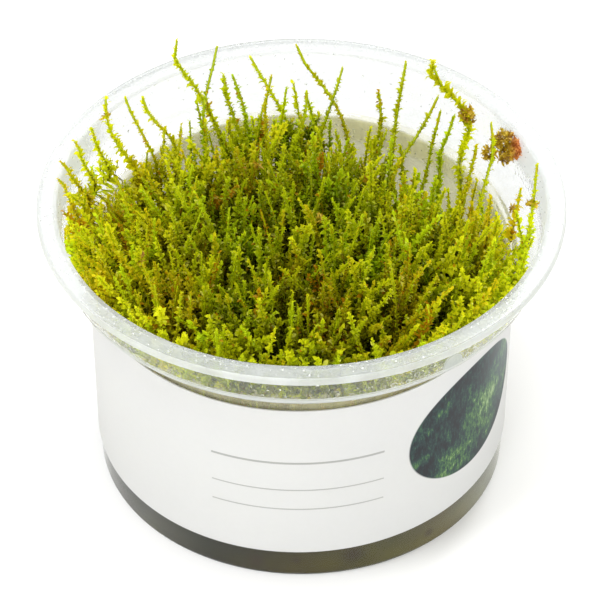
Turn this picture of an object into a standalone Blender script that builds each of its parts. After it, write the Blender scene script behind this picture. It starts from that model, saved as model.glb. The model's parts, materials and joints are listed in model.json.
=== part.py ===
# A clump of moss in a clear stepped culture cup, standing on its nutrient gel.
# Metres, +Z up. The origin is the middle of the cup's foot, -Y is the label's front.
import math
import random

import bmesh
import bpy
from mathutils import Matrix, Vector

MM = 0.001

# Cup: a tapered body, a ledge that a lid stands on, a wider collar and a flat rim
CUP_HEIGHT = 60.65 * MM
WALL = 0.8 * MM
FLOOR = 1.0 * MM
FOOT_RADIUS = 39.2 * MM
BODY_TOP_RADIUS = 40.25 * MM
LEDGE_HEIGHT = 49.5 * MM
COLLAR_RADIUS = 46.0 * MM
COLLAR_TOP_RADIUS = 46.85 * MM
RIM_RADIUS = 50.0 * MM
RIM_DROP = 1.45 * MM
CORNER = 1.6 * MM
TURNED_STEPS = 48

# Paper label, wrapped a little askew round the body
LABEL_BOTTOM = 7.0 * MM
LABEL_TOP = 44.0 * MM
LABEL_THICKNESS = 0.25 * MM
LABEL_SLOPE_X = 0.012
LABEL_SLOPE_Y = 0.022

# Nutrient gel
GEL_TOP = 12.0 * MM
GAP = 0.3 * MM

# Moss: a mat of fused short shoots with single tall shoots rooted in it
MAT_RINGS = 10
MAT_RADIUS = 44.4 * MM
MAT_NARROW_RADIUS = 38.8 * MM
MAT_SHELF = 52.4 * MM
MAT_SIDE_TOP = 46.0 * MM
MAT_JITTER = 0.5 * MM
SECTOR_MARGIN = 0.16
CANOPY = 56.5 * MM
VALLEY_DEPTH = 7.5 * MM
BACK_SLOPE = 0.16
BACK_SLOPE_START = 12 * MM
SHOOT_RADIUS = 0.85 * MM
TIP_RADIUS = 0.3 * MM
ROOT_DEPTH = 3.0 * MM
SHOOT_POINTS = 8
CLEARING = 3.6 * MM
CLEARING_DROP = 1.7 * MM
SEED = 11

# Swells of the canopy: middle, spread and height in millimetres
BARE_PIT = (31, 25, 8.5, -27)
RIGHT_HOLLOW = (43, 3, 9, -2)
LEFT_RISE = (-42, -4, 14, 1.5)

# Each tall shoot from where it leaves the mat to its tip, in millimetres
TALL_SHOOTS = {
    "shoot_left_1": [(-42, 1, 55), (-43.6, 2.5, 58), (-44.4, 3.5, 60), (-46, 4, 62.5)],
    "shoot_left_2": [(-40.5, 8, 55), (-42.3, 8, 57.5), (-44, 8.5, 60), (-45.6, 9, 62.5)],
    "shoot_left_3": [(-39.5, 13, 54.5), (-41.6, 14.3, 58), (-43.4, 16, 62)],
    "shoot_left_4": [(-37, 18, 54), (-39, 19, 58), (-40.2, 20, 62)],
    "shoot_left_5": [(-31.8, 19.4, 52.4), (-35.2, 21.3, 56.5), (-37.2, 23.5, 60), (-37.6, 26, 64.3)],
    "shoot_left_6": [(-28, 23, 51), (-30.5, 25, 56), (-33, 27, 60.5), (-34, 28, 63)],
    "shoot_left_7": [(-24.4, 25.8, 53.6), (-27.6, 27.6, 56.4), (-30, 29, 59), (-30.7, 30, 61.3)],
    "shoot_back_1": [
        (-14.5, 31, 48), (-18, 33.5, 55), (-20, 34.5, 59.5),
        (-22.5, 35.5, 62.5), (-24.6, 36, 65.8), (-24, 37, 70),
    ],
    "shoot_back_2": [(-18.6, 27.4, 51), (-19, 29.8, 59), (-17.4, 34, 64.5), (-16.2, 36.5, 69)],
    "shoot_back_3": [(-11, 29.5, 49.5), (-14.2, 32.6, 58), (-15.2, 35, 63)],
    "shoot_back_4": [(-10.2, 34, 48.5), (-11.6, 36.5, 55), (-13.4, 38.6, 59.8)],
    "shoot_back_5": [(-1.5, 35, 48), (-5, 37.6, 54.5), (-8, 40, 59), (-10, 41.5, 62)],
    "shoot_back_6": [(-6.5, 31, 49), (-7.2, 34, 55.5), (-5.8, 36.5, 61.5)],
    "shoot_back_7": [
        (9.5, 32, 47.5), (7.5, 35.8, 53), (5.2, 37.6, 56.5),
        (2, 39.2, 60.5), (0, 40.5, 62.5), (-1, 41.5, 65),
    ],
    "shoot_back_8": [(3.2, 29.5, 51), (5.4, 31.5, 57.5), (7, 34.3, 61.5), (8, 36, 64)],
    "shoot_back_9": [(-1.5, 28, 50.5), (0.6, 31, 56), (1, 33, 60.5)],
    "shoot_right_1": [(14.2, 33.5, 46), (15.6, 35.3, 50.5), (15, 37.6, 56.5)],
    "shoot_right_2": [(17.6, 29.5, 46), (18.3, 32.5, 53), (19.3, 35, 59.5), (20.3, 37, 64.5)],
    "shoot_right_3": [(16.5, 23, 45), (19, 26, 49), (22.3, 29.5, 52), (26.6, 33.3, 59)],
    "shoot_right_4": [(21, 20.5, 38), (23.8, 25.6, 43.5), (25.4, 28.6, 51), (27, 30.2, 58)],
    "shoot_right_5": [(26, 18, 34), (26.6, 24.5, 40), (27.6, 28.2, 49), (29.6, 29.8, 57)],
    "shoot_right_6": [(29.5, 12.5, 44), (32, 15.5, 52), (33.6, 18.6, 58.5)],
    "shoot_right_7": [(33.4, 4.6, 54), (35, 10.2, 56.6), (36.6, 14.4, 60.6), (36.2, 18.6, 64.4)],
    "shoot_right_8": [(39.6, -2, 55), (40.6, 1.5, 57), (41.4, 4.6, 59.5)],
    "shoot_right_9": [
        (39, -14.5, 54.5), (41.3, -11, 56.5), (42.8, -5, 58),
        (43.7, 0.5, 60), (44.4, 5, 65.3),
    ],
    "shoot_front_1": [(-13, -37, 56), (-14.4, -37.8, 59.4), (-14, -37, 62)],
    "shoot_front_2": [(22, -31, 55), (23.6, -31.4, 58.6), (23, -30, 61.4)],
    "shoot_middle_1": [(-20, 6, 55), (-21.4, 7.4, 59), (-20.6, 8.6, 62)],
    "shoot_middle_2": [(4, 9, 55), (5.4, 10.6, 59), (5, 12, 62.4)],
    "hooked_shoot": [
        (30.8, 20.5, 33), (31.4, 24.5, 40), (31.6, 27.2, 48), (32, 29.4, 55), (31.2, 31, 59.5),
        (28.8, 32.3, 62.3), (26, 33.6, 64.2), (25.2, 34.6, 66.6), (26.2, 35.2, 69),
    ],
}

# Withered tuft that leans on the collar's wall
TUFT_CENTRE = (39.1 * MM, 20.3 * MM, 57.4 * MM)
TUFT_SIZE = (1.15 * MM, 3.7 * MM, 2.9 * MM)


def clear_scene():
    for found in list(bpy.data.objects):
        bpy.data.objects.remove(found, do_unlink=True)


def make_collection(name):
    collection = bpy.data.collections.new(name)
    bpy.context.scene.collection.children.link(collection)
    return collection


def make_material(name, colour, roughness, transmission=0.0):
    material = bpy.data.materials.new(name)
    material.use_nodes = True
    shader = material.node_tree.nodes["Principled BSDF"]
    shader.inputs["Base Color"].default_value = (*colour, 1.0)
    shader.inputs["Roughness"].default_value = roughness
    shader.inputs["Metallic"].default_value = 0.0
    shader.inputs["Transmission Weight"].default_value = transmission
    return material


def add_object(name, data, collection, material=None):
    added = bpy.data.objects.new(name, data)
    collection.objects.link(added)
    if material:
        data.materials.append(material)
    return added


def plain_mesh(source):
    # The object's evaluated mesh, with curve caps welded, in place of the object
    graph = bpy.context.evaluated_depsgraph_get()
    mesh = bpy.data.meshes.new_from_object(source.evaluated_get(graph))
    mesh.transform(source.matrix_world)
    bm = bmesh.new()
    bm.from_mesh(mesh)
    bmesh.ops.remove_doubles(bm, verts=bm.verts, dist=1e-6)
    bmesh.ops.recalc_face_normals(bm, faces=bm.faces)
    bm.to_mesh(mesh)
    bm.free()
    bpy.data.objects.remove(source, do_unlink=True)
    return mesh


def arc(centre, radius, start, end, steps):
    points = []
    for step in range(steps + 1):
        angle = math.radians(start + (end - start) * step / steps)
        points.append((centre[0] + radius * math.cos(angle), centre[1] + radius * math.sin(angle)))
    return points


def turned(name, profile, closed, collection, material):
    # The profile lies at +X and runs from top to bottom down its outer side
    points = [(radius, 0.0, height) for radius, height in profile]
    edges = [(index, index + 1) for index in range(len(points) - 1)]
    if closed:
        edges.append((len(points) - 1, 0))
    mesh = bpy.data.meshes.new(name)
    mesh.from_pydata(points, edges, [])
    made = add_object(name, mesh, collection, material)
    screw = made.modifiers.new("turn", "SCREW")
    screw.axis = "Z"
    screw.steps = TURNED_STEPS
    screw.render_steps = TURNED_STEPS
    screw.use_merge_vertices = True
    screw.merge_threshold = 0.00001
    return made


def body_radius(height):
    # Outer radius of the cup's tapered body
    return FOOT_RADIUS + (BODY_TOP_RADIUS - FOOT_RADIUS) * height / LEDGE_HEIGHT


def inner_radius(height):
    # Radius inside the cup, in the body or above the ledge
    if height < LEDGE_HEIGHT + 1.2 * MM:
        return body_radius(height) - WALL
    rise = (height - LEDGE_HEIGHT) / (CUP_HEIGHT - LEDGE_HEIGHT)
    return COLLAR_RADIUS + (COLLAR_TOP_RADIUS - COLLAR_RADIUS) * min(rise, 1.0) - WALL


def cup_profile():
    body_top = BODY_TOP_RADIUS
    shelf = LEDGE_HEIGHT
    rim_bottom = CUP_HEIGHT - WALL
    inside = [(0.0, FLOOR)]
    inside += arc((body_radius(0) - WALL - CORNER, FLOOR + CORNER), CORNER, -90, 0, 2)
    inside += [
        (body_top - WALL, shelf - 0.6 * MM),
        (body_top - 0.2 * MM, shelf + 0.6 * MM),
        (COLLAR_RADIUS - 1.7 * MM, shelf + 1.2 * MM),
        (COLLAR_RADIUS - WALL, shelf + 2.1 * MM),
        (COLLAR_TOP_RADIUS - WALL, CUP_HEIGHT - 0.4 * MM),
        (COLLAR_TOP_RADIUS - WALL + 0.3 * MM, CUP_HEIGHT),
    ]
    rim = [
        (RIM_RADIUS - 0.35 * MM, CUP_HEIGHT),
        (RIM_RADIUS, CUP_HEIGHT - 0.35 * MM),
        (RIM_RADIUS, CUP_HEIGHT - RIM_DROP),
        (RIM_RADIUS - 0.6 * MM, CUP_HEIGHT - RIM_DROP),
        (RIM_RADIUS - 0.7 * MM, rim_bottom),
        (COLLAR_TOP_RADIUS, rim_bottom),
    ]
    outside = [
        (COLLAR_RADIUS, shelf + 1.9 * MM),
        (COLLAR_RADIUS - 0.9 * MM, shelf + 0.6 * MM),
        (body_top + 0.8 * MM, shelf),
        (body_top, shelf - 0.9 * MM),
    ]
    foot = arc((body_radius(0) - CORNER, CORNER), CORNER, 0, -90, 3)
    return inside + rim + outside + foot + [(0.0, 0.0)]


def make_cup(collection):
    plastic = make_material("clear_plastic", (0.93, 0.95, 0.95), 0.12, 0.9)
    return turned("cup", cup_profile(), False, collection, plastic)


def make_label(collection):
    paper = make_material("label_paper", (0.86, 0.86, 0.88), 0.55)
    inner_top = body_radius(LABEL_TOP) + 0.2 * MM
    inner_bottom = body_radius(LABEL_BOTTOM) + 0.2 * MM
    profile = [
        (inner_top + LABEL_THICKNESS, LABEL_TOP),
        (inner_bottom + LABEL_THICKNESS, LABEL_BOTTOM),
        (inner_bottom, LABEL_BOTTOM),
        (inner_top, LABEL_TOP),
    ]
    wrap = turned("label_wrap", profile, True, collection, paper)
    mesh = plain_mesh(wrap)
    skew = Matrix.Identity(4)
    skew[2][0] = LABEL_SLOPE_X
    skew[2][1] = LABEL_SLOPE_Y
    mesh.transform(skew)
    return add_object("label", mesh, collection)


def make_gel(collection):
    gel = make_material("nutrient_gel", (0.19, 0.17, 0.1), 0.25)
    bottom = FLOOR + GAP
    profile = [
        (0.0, GEL_TOP),
        (inner_radius(GEL_TOP) - GAP, GEL_TOP),
        (inner_radius(FLOOR + CORNER) - GAP, bottom + CORNER),
        (inner_radius(FLOOR) - CORNER - GAP, bottom),
        (0.0, bottom),
    ]
    return turned("nutrient_gel", profile, False, collection, gel)


def bump(x, y, centre_x, centre_y, spread):
    distance = math.hypot(x / MM - centre_x, y / MM - centre_y)
    return math.exp(-distance * distance / (2 * spread * spread))


def canopy(x, y):
    # Height of the shoots' tips: high in front, thinner at the back, a pit at the back right
    height = CANOPY - BACK_SLOPE * max(0.0, y - BACK_SLOPE_START)
    for centre_x, centre_y, spread, rise in (BARE_PIT, RIGHT_HOLLOW, LEFT_RISE):
        height += rise * MM * bump(x, y, centre_x, centre_y, spread)
    return height


def smooth_path(points, count):
    # Even points on a Catmull-Rom curve through the given ones
    ends = [2 * points[0] - points[1], *points, 2 * points[-1] - points[-2]]
    fine = []
    for index in range(1, len(ends) - 2):
        before, start, end, after = ends[index - 1:index + 3]
        for step in range(12):
            t = step / 12
            fine.append(0.5 * (
                2 * start + (end - before) * t
                + (2 * before - 5 * start + 4 * end - after) * t * t
                + (3 * start - before - 3 * end + after) * t ** 3
            ))
    fine.append(points[-1].copy())
    lengths = [0.0]
    for first, second in zip(fine, fine[1:]):
        lengths.append(lengths[-1] + (second - first).length)
    path = []
    for step in range(count):
        wanted = lengths[-1] * step / (count - 1)
        index = max(i for i, length in enumerate(lengths[:-1]) if length <= wanted + 1e-9)
        part = (wanted - lengths[index]) / (lengths[index + 1] - lengths[index])
        path.append(fine[index].lerp(fine[index + 1], part))
    return path


def keep_inside(point, radius):
    # A shoot that meets the wall bends along it
    if point.z > CUP_HEIGHT + radius + GAP:
        return point
    limit = inner_radius(point.z) - radius - GAP
    reach = math.hypot(point.x, point.y)
    if reach <= limit:
        return point
    return Vector((point.x * limit / reach, point.y * limit / reach, point.z))


def shoot_path(name):
    # Root point straight below the mat's surface, then the curve up to the tip
    points = [Vector(point) * MM for point in TALL_SHOOTS[name]]
    count = SHOOT_POINTS + 2 * (len(points) > 6)
    curve = [keep_inside(point, SHOOT_RADIUS) for point in smooth_path(points, count)]
    return [curve[0] - Vector((0, 0, ROOT_DEPTH)), *curve]


def make_shoot(name, collection, material):
    # A leafy shoot: its outline swells and narrows with the pairs of leaves
    path = shoot_path(name)
    curve = bpy.data.curves.new(name, "CURVE")
    curve.dimensions = "3D"
    curve.bevel_depth = SHOOT_RADIUS
    curve.bevel_resolution = 1
    curve.use_fill_caps = True
    spline = curve.splines.new("POLY")
    spline.points.add(len(path) - 1)
    for index, point in enumerate(path):
        share = index / (len(path) - 1)
        leafy = 1.0 if index % 2 == 0 else 0.68
        radius = leafy * (1 - share) + share * TIP_RADIUS / SHOOT_RADIUS
        spline.points[index].co = (*point, 1.0)
        spline.points[index].radius = radius
    add_object(name, curve, collection, material)


def make_socket(name, collection):
    # An upright hole in the mat, wider than the shoot's root by the gap
    root = shoot_path(name)[0]
    height = ROOT_DEPTH + 5 * MM
    bm = bmesh.new()
    bmesh.ops.create_cone(
        bm, cap_ends=True, segments=7, radius1=SHOOT_RADIUS + 1.2 * GAP,
        radius2=SHOOT_RADIUS + 1.2 * GAP, depth=height,
    )
    mesh = bpy.data.meshes.new(name + "_socket")
    bm.to_mesh(mesh)
    bm.free()
    cutter = add_object(name + "_socket", mesh, collection)
    cutter.location = root + Vector((0, 0, height / 2 - GAP))
    cutter.hide_render = True
    cutter.display_type = "WIRE"
    return cutter


def clearing_height(x, y, height, paths):
    # The mat stays below every tall shoot that passes over this place
    for path in paths:
        for point in path[1:]:
            if math.hypot(point.x - x, point.y - y) < CLEARING:
                height = min(height, point.z - CLEARING_DROP)
    return height


def hexagon_to_disc(bm):
    # Each hexagonal ring of the grid becomes a circle
    for vertex in bm.verts:
        reach = vertex.co.xy.length
        if reach < 1e-9:
            continue
        turn = math.atan2(vertex.co.y, vertex.co.x) % (math.pi / 3)
        across = reach * math.cos(turn - math.pi / 6) / math.cos(math.pi / 6)
        vertex.co *= across / reach


def mat_edge(angle):
    # The mat lies on the ledge where it stands high enough, and stays in the body elsewhere
    x = MAT_NARROW_RADIUS * math.cos(angle)
    y = MAT_NARROW_RADIUS * math.sin(angle)
    wide = canopy(x, y) > MAT_SHELF + 1.2 * MM
    return MAT_RADIUS if wide else MAT_NARROW_RADIUS


def ledge_clearance(x, y):
    # Lowest height of the mat's top where it goes over the ledge, and just beside that
    angle = math.atan2(y, x)
    reach = math.hypot(x, y)
    if mat_edge(angle) == MAT_RADIUS:
        below = max(38 * MM - reach, 0.0)
        return MAT_SHELF - min(below, 5 * MM)
    if max(mat_edge(angle - SECTOR_MARGIN), mat_edge(angle + SECTOR_MARGIN)) == MAT_RADIUS:
        below = max(35 * MM - reach, 0.0)
        return MAT_SHELF - 0.6 * MM - 2 * below
    return 0.0


def keep_off_wall(vertex):
    reach = vertex.co.xy.length
    vertex.co.xy *= min(1.0, (inner_radius(vertex.co.z) - GAP) / max(reach, GAP))


def shape_mat_top(bm, paths, rng):
    for vertex in bm.verts:
        angle = math.atan2(vertex.co.y, vertex.co.x)
        vertex.co *= mat_edge(angle) / MAT_RADIUS
        if not vertex.is_boundary:
            vertex.co.x += rng.uniform(-MAT_JITTER, MAT_JITTER)
            vertex.co.y += rng.uniform(-MAT_JITTER, MAT_JITTER)
        x, y = vertex.co.xy
        height = canopy(x, y) - VALLEY_DEPTH + rng.uniform(-1, 1) * MM
        height = clearing_height(x, y, height, paths)
        if vertex.is_boundary:
            height = min(height, MAT_SIDE_TOP)
        vertex.co.z = max(height, ledge_clearance(x, y))
        keep_off_wall(vertex)


def raise_spikes(bm, paths, rng):
    # The middle of every cell is pulled up to the tips of its shoots
    poked = bmesh.ops.poke(bm, faces=list(bm.faces))
    for vertex in poked["verts"]:
        x, y = vertex.co.xy
        tip = canopy(x, y) + rng.uniform(-3.0, 1.8) * MM
        tip = clearing_height(x, y, tip, paths)
        vertex.co.z = max(tip, vertex.co.z + GAP, ledge_clearance(x, y) + GAP)
        vertex.co.x += rng.uniform(-MAT_JITTER, MAT_JITTER)
        vertex.co.y += rng.uniform(-MAT_JITTER, MAT_JITTER)


def close_mat_side(bm):
    # Rings down the inside of the cup: over the ledge, into the body and down to the gel
    ring = [edge for edge in bm.edges if edge.is_boundary]
    body_top = inner_radius(MAT_SIDE_TOP) - 2 * GAP
    rings = [
        (0.99 * MAT_RADIUS, 0.5 * MM, MAT_SHELF),
        (body_top, 0.8 * MM, LEDGE_HEIGHT + 1.3 * MM),
        (body_top, 2.6 * MM, MAT_SIDE_TOP),
        (inner_radius(GEL_TOP) - GAP, CUP_HEIGHT, GEL_TOP + GAP),
    ]
    tops = {}
    for radius, drop, limit in rings:
        grown = bmesh.ops.extrude_edge_only(bm, edges=ring)["geom"]
        ring = [item for item in grown if isinstance(item, bmesh.types.BMEdge)]
        for vertex in [item for item in grown if isinstance(item, bmesh.types.BMVert)]:
            reach = vertex.co.xy.length
            key = round(math.atan2(vertex.co.y, vertex.co.x), 4)
            top = tops.setdefault(key, vertex.co.z)
            vertex.co.xy *= min(radius, reach) / reach
            vertex.co.z = max(min(top - drop, limit), GEL_TOP + GAP)
            keep_off_wall(vertex)
    bmesh.ops.contextual_create(bm, geom=ring)


def make_mat(collection, cutters, material):
    rng = random.Random(SEED)
    paths = [shoot_path(name) for name in TALL_SHOOTS]
    bm = bmesh.new()
    bmesh.ops.create_circle(
        bm, cap_ends=True, cap_tris=True, segments=6, radius=MAT_RADIUS,
        matrix=Matrix.Rotation(math.radians(30), 4, "Z"),
    )
    bmesh.ops.subdivide_edges(bm, edges=bm.edges, cuts=MAT_RINGS - 1, use_grid_fill=True)
    hexagon_to_disc(bm)
    shape_mat_top(bm, paths, rng)
    raise_spikes(bm, paths, rng)
    close_mat_side(bm)
    bmesh.ops.recalc_face_normals(bm, faces=bm.faces)
    mesh = bpy.data.meshes.new("moss_mat")
    bm.to_mesh(mesh)
    bm.free()
    mat = add_object("moss_mat", mesh, collection, material)
    sockets = mat.modifiers.new("sockets", "BOOLEAN")
    sockets.operation = "DIFFERENCE"
    sockets.solver = "EXACT"
    sockets.operand_type = "COLLECTION"
    sockets.collection = cutters
    return mat


def make_tuft(collection):
    # Flat withered tuft against the wall, lumpy with dry leaves
    rng = random.Random(SEED + 1)
    dry = make_material("dry_moss", (0.32, 0.13, 0.03), 0.8)
    bm = bmesh.new()
    bmesh.ops.create_icosphere(bm, subdivisions=2, radius=1.0)
    for vertex in bm.verts:
        vertex.co *= rng.uniform(0.72, 1.08)
    bmesh.ops.scale(bm, verts=bm.verts, vec=TUFT_SIZE)
    mesh = bpy.data.meshes.new("dry_tuft")
    bm.to_mesh(mesh)
    bm.free()
    tuft = add_object("dry_tuft", mesh, collection, dry)
    tuft.location = TUFT_CENTRE
    tuft.rotation_euler.z = math.atan2(TUFT_CENTRE[1], TUFT_CENTRE[0])
    return tuft


def main():
    clear_scene()
    parts = make_collection("moss_clump")
    cutters = make_collection("cutters")
    green = make_material("moss_shoots", (0.36, 0.42, 0.04), 0.6)
    deep_green = make_material("moss_mat", (0.2, 0.25, 0.02), 0.7)
    make_cup(parts)
    make_label(parts)
    make_gel(parts)
    for name in TALL_SHOOTS:
        make_shoot(name, parts, green)
        make_socket(name, cutters)
    make_mat(parts, cutters, deep_green)
    make_tuft(parts)


main()
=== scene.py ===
import json
import math
import random

import bmesh
import bpy
import numpy as np
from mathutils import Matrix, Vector

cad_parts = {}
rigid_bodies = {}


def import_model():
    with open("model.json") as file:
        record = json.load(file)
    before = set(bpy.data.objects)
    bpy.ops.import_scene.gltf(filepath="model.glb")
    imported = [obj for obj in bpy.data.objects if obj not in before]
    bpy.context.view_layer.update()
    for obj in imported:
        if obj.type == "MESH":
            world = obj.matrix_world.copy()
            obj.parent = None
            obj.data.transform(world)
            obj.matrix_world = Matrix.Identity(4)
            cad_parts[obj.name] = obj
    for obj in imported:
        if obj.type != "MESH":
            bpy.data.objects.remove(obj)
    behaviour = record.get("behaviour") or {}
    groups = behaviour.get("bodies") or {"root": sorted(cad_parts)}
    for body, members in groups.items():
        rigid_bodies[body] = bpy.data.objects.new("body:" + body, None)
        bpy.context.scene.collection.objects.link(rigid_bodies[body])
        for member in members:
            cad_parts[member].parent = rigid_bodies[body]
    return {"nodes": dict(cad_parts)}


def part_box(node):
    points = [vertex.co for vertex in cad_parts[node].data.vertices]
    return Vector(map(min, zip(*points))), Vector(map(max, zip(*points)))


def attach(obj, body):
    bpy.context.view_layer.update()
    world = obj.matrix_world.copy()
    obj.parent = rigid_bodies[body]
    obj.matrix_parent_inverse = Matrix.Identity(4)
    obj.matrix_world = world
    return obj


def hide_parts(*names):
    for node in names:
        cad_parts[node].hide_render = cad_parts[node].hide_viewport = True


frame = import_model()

mm = 0.001
fullTurn = 2 * math.pi
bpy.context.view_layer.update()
scene = bpy.context.scene
work = {}  # holds the node tree that is being built


# Small helpers for objects and meshes

def addObject(name, mesh, *materials):
    made = bpy.data.objects.new(name, mesh)
    scene.collection.objects.link(made)
    for material in materials:
        mesh.materials.append(material)
    return made


def discard(*objects):
    for unwanted in objects:
        bpy.data.objects.remove(unwanted, do_unlink=True)


def table(columns, rows):
    # Each row's values by the names of the columns
    return {name: dict(zip(columns.split(), row)) for name, row in rows.items()}


def meshOf(name, points, faces, edges=()):
    mesh = bpy.data.meshes.new(name)
    mesh.from_pydata(points, edges, faces)
    return mesh


def meshFrom(name, bm):
    mesh = bpy.data.meshes.new(name)
    bm.to_mesh(mesh)
    bm.free()
    return mesh


def bridge(bm, upper, lower, steps):
    # Faces between two rings, or fans where one of them is a single point
    for step in range(steps):
        corners = [upper[step % len(upper)], lower[step % len(lower)]]
        corners += [lower[(step + 1) % len(lower)], upper[(step + 1) % len(upper)]]
        bm.faces.new(list(dict.fromkeys(corners)))


def mark(mesh, name, values):
    # A number at each point of the mesh, which its material reads
    mesh.attributes.new(name, "FLOAT", "POINT").data.foreach_set("value", values)


# Node helpers, which all add to the tree in work

class NodeValue:
    # One output of a node: sums and comparisons with it add maths nodes
    def __init__(self, socket):
        self.socket = socket

    def __add__(self, other):
        return maths("ADD", self, other)

    def __radd__(self, other):
        return maths("ADD", other, self)

    def __sub__(self, other):
        return maths("SUBTRACT", self, other)

    def __mul__(self, other):
        return maths("MULTIPLY", self, other)

    def __truediv__(self, other):
        return maths("DIVIDE", self, other)

    def __gt__(self, other):
        return maths("GREATER_THAN", self, other)

    def __lt__(self, other):
        return maths("LESS_THAN", self, other)

    def __abs__(self):
        return maths("ABSOLUTE", self)


def fill(socket, value):
    if isinstance(value, NodeValue):
        work["tree"].links.new(value.socket, socket)
    elif socket.type == "RGBA" and len(value) == 3:
        socket.default_value = (*value, 1.0)
    else:
        socket.default_value = value


def addNode(kind, inputs=None, output=0, **settings):
    # Gives back the output of that number or name, or all of them by name for None
    node = work["tree"].nodes.new(kind)
    for name, value in settings.items():
        setattr(node, name, value)
    for name, value in (inputs or {}).items():
        fill(node.inputs[name], value)
    if output is None:
        return {socket.name: NodeValue(socket) for socket in node.outputs}
    return NodeValue(node.outputs[output])


def maths(operation, first, second=0.0, third=0.0):
    return addNode("ShaderNodeMath", {0: first, 1: second, 2: third}, operation=operation)


def larger(first, *others):
    for other in others:
        first = maths("MAXIMUM", first, other)
    return first


def spread(value, low, high, start=0.0, end=1.0, smooth=True):
    # value from low..high becomes start..end, and stays there outside
    inputs = {"Value": value, "From Min": low, "From Max": high, "To Min": start, "To Max": end}
    return addNode("ShaderNodeMapRange", inputs, interpolation_type="SMOOTHSTEP" if smooth else "LINEAR")


def spreadMm(value, low, high, start=0.0, end=1.0, smooth=True):
    return spread(value, low * mm, high * mm, start, end, smooth)


def between(value, low, lowEnd, high, highEnd):
    # 1 between two soft edges, which are given in millimetres
    return spreadMm(value, low, lowEnd) * spreadMm(value, high, highEnd, 1.0, 0.0)


def vectorMaths(operation, first, second=(0, 0, 0), scale=1.0):
    output = 1 if operation == "LENGTH" else 0
    return addNode("ShaderNodeVectorMath", {0: first, 1: second, 3: scale}, output, operation=operation)


def combine(x=0.0, y=0.0, z=0.0):
    return addNode("ShaderNodeCombineXYZ", {0: x, 1: y, 2: z})


def axesOf(vector):
    return list(addNode("ShaderNodeSeparateXYZ", {0: vector}, None).values())


def reachOf(x, y):
    return vectorMaths("LENGTH", combine(x, y))


def offsetFrom(where, centre):
    return vectorMaths("SUBTRACT", where, tuple(c * mm for c in centre))


def noise(where, scale, detail=3.0, roughness=0.55):
    inputs = {"Vector": where, "Scale": scale, "Detail": detail, "Roughness": roughness}
    return addNode("ShaderNodeTexNoise", inputs)


def mixColour(share, first, second, kind="MIX"):
    return addNode("ShaderNodeMix", {0: share, 6: first, 7: second}, 2, data_type="RGBA", blend_type=kind)


def darker(colour, share):
    return tuple(share * c for c in colour)


def ramp(value, stops):
    node = work["tree"].nodes.new("ShaderNodeValToRGB")
    fill(node.inputs[0], value)
    while len(node.color_ramp.elements) < len(stops):
        node.color_ramp.elements.new(0.5)
    for element, (place, colour) in zip(node.color_ramp.elements, stops):
        element.position = place
        element.color = (*colour, 1.0)
    return NodeValue(node.outputs[0])


def bumped(height, strength, depth, normal=None):
    # depth in millimetres
    inputs = {"Height": height, "Strength": strength, "Distance": depth * mm}
    if normal is not None:
        inputs["Normal"] = normal
    return addNode("ShaderNodeBump", inputs)


# Materials

def newMaterial(name):
    # The material, and the place on the object that its patterns read
    material = bpy.data.materials.new(name)
    material.use_nodes = True
    material.node_tree.nodes.clear()
    work["tree"] = material.node_tree
    return material, addNode("ShaderNodeTexCoord", None, "Object")


def finishMaterial(material, shader):
    addNode("ShaderNodeOutputMaterial", {"Surface": shader}, None)
    return material


def principled(inputs):
    return addNode("ShaderNodeBsdfPrincipled", inputs)


def mixShader(share, first, second):
    return addNode("ShaderNodeMixShader", {0: share, 1: first, 2: second})


def thin(share, through, inputs):
    # A leaf or paper that lets a share of the light through, in a colour of its own
    return mixShader(share, principled(inputs), addNode("ShaderNodeBsdfTranslucent", {"Color": through}))


def letLightIn(shader, colour):
    # Shadow and diffuse rays pass the clear wall and the thin paper, so what stands inside is lit
    path = addNode("ShaderNodeLightPath", None, None)
    clear = addNode("ShaderNodeBsdfTransparent", {"Color": colour})
    for kind in ("Is Diffuse Ray", "Is Shadow Ray"):
        shader = mixShader(path[kind], shader, clear)
    return shader


# Geometry node trees

def newTree(name, sockets):
    # The tree and its inputs by name: a Length is in millimetres where grow sets it, and in metres inside
    tree = bpy.data.node_groups.new(name, "GeometryNodeTree")
    tree.interface.new_socket("Geometry", in_out="INPUT", socket_type="NodeSocketGeometry")
    for kind, labels in sockets.items():
        socketType = "NodeSocket" + kind.replace("Length", "Float")
        for label in labels.split():
            made = tree.interface.new_socket(label, in_out="INPUT", socket_type=socketType)
            if kind == "Length":
                made.subtype = "DISTANCE"
    tree.interface.new_socket("Geometry", in_out="OUTPUT", socket_type="NodeSocketGeometry")
    work["tree"] = tree
    return tree, addNode("NodeGroupInput", None, None)


def finishTree(geometry):
    addNode("NodeGroupOutput", {0: geometry}, None)


def grow(name, source, tree, values):
    # Runs the tree on the source and keeps its result as a plain mesh object
    modifier = source.modifiers.new("grow", "NODES")
    modifier.node_group = tree
    for item in tree.interface.items_tree:
        if item.in_out == "INPUT" and item.name in values:
            isLength = getattr(item, "subtype", "") == "DISTANCE"
            modifier[item.identifier] = values[item.name] * mm if isLength else values[item.name]
    graph = bpy.context.evaluated_depsgraph_get()
    mesh = bpy.data.meshes.new_from_object(source.evaluated_get(graph), depsgraph=graph)
    mesh.name = name
    discard(source)
    while len(mesh.materials) > 1 and None in list(mesh.materials):
        mesh.materials.pop(index=list(mesh.materials).index(None))
    return addObject(name, mesh)


def randomValue(low, high, seed, key=None):
    inputs = {2: low, 3: high, "Seed": seed}
    if key is not None:
        inputs["ID"] = key
    return addNode("FunctionNodeRandomValue", inputs, 1, data_type="FLOAT")


def position():
    return addNode("GeometryNodeInputPosition")


def namedAttribute(name):
    return addNode("GeometryNodeInputNamedAttribute", {"Name": name}, data_type="FLOAT")


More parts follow.
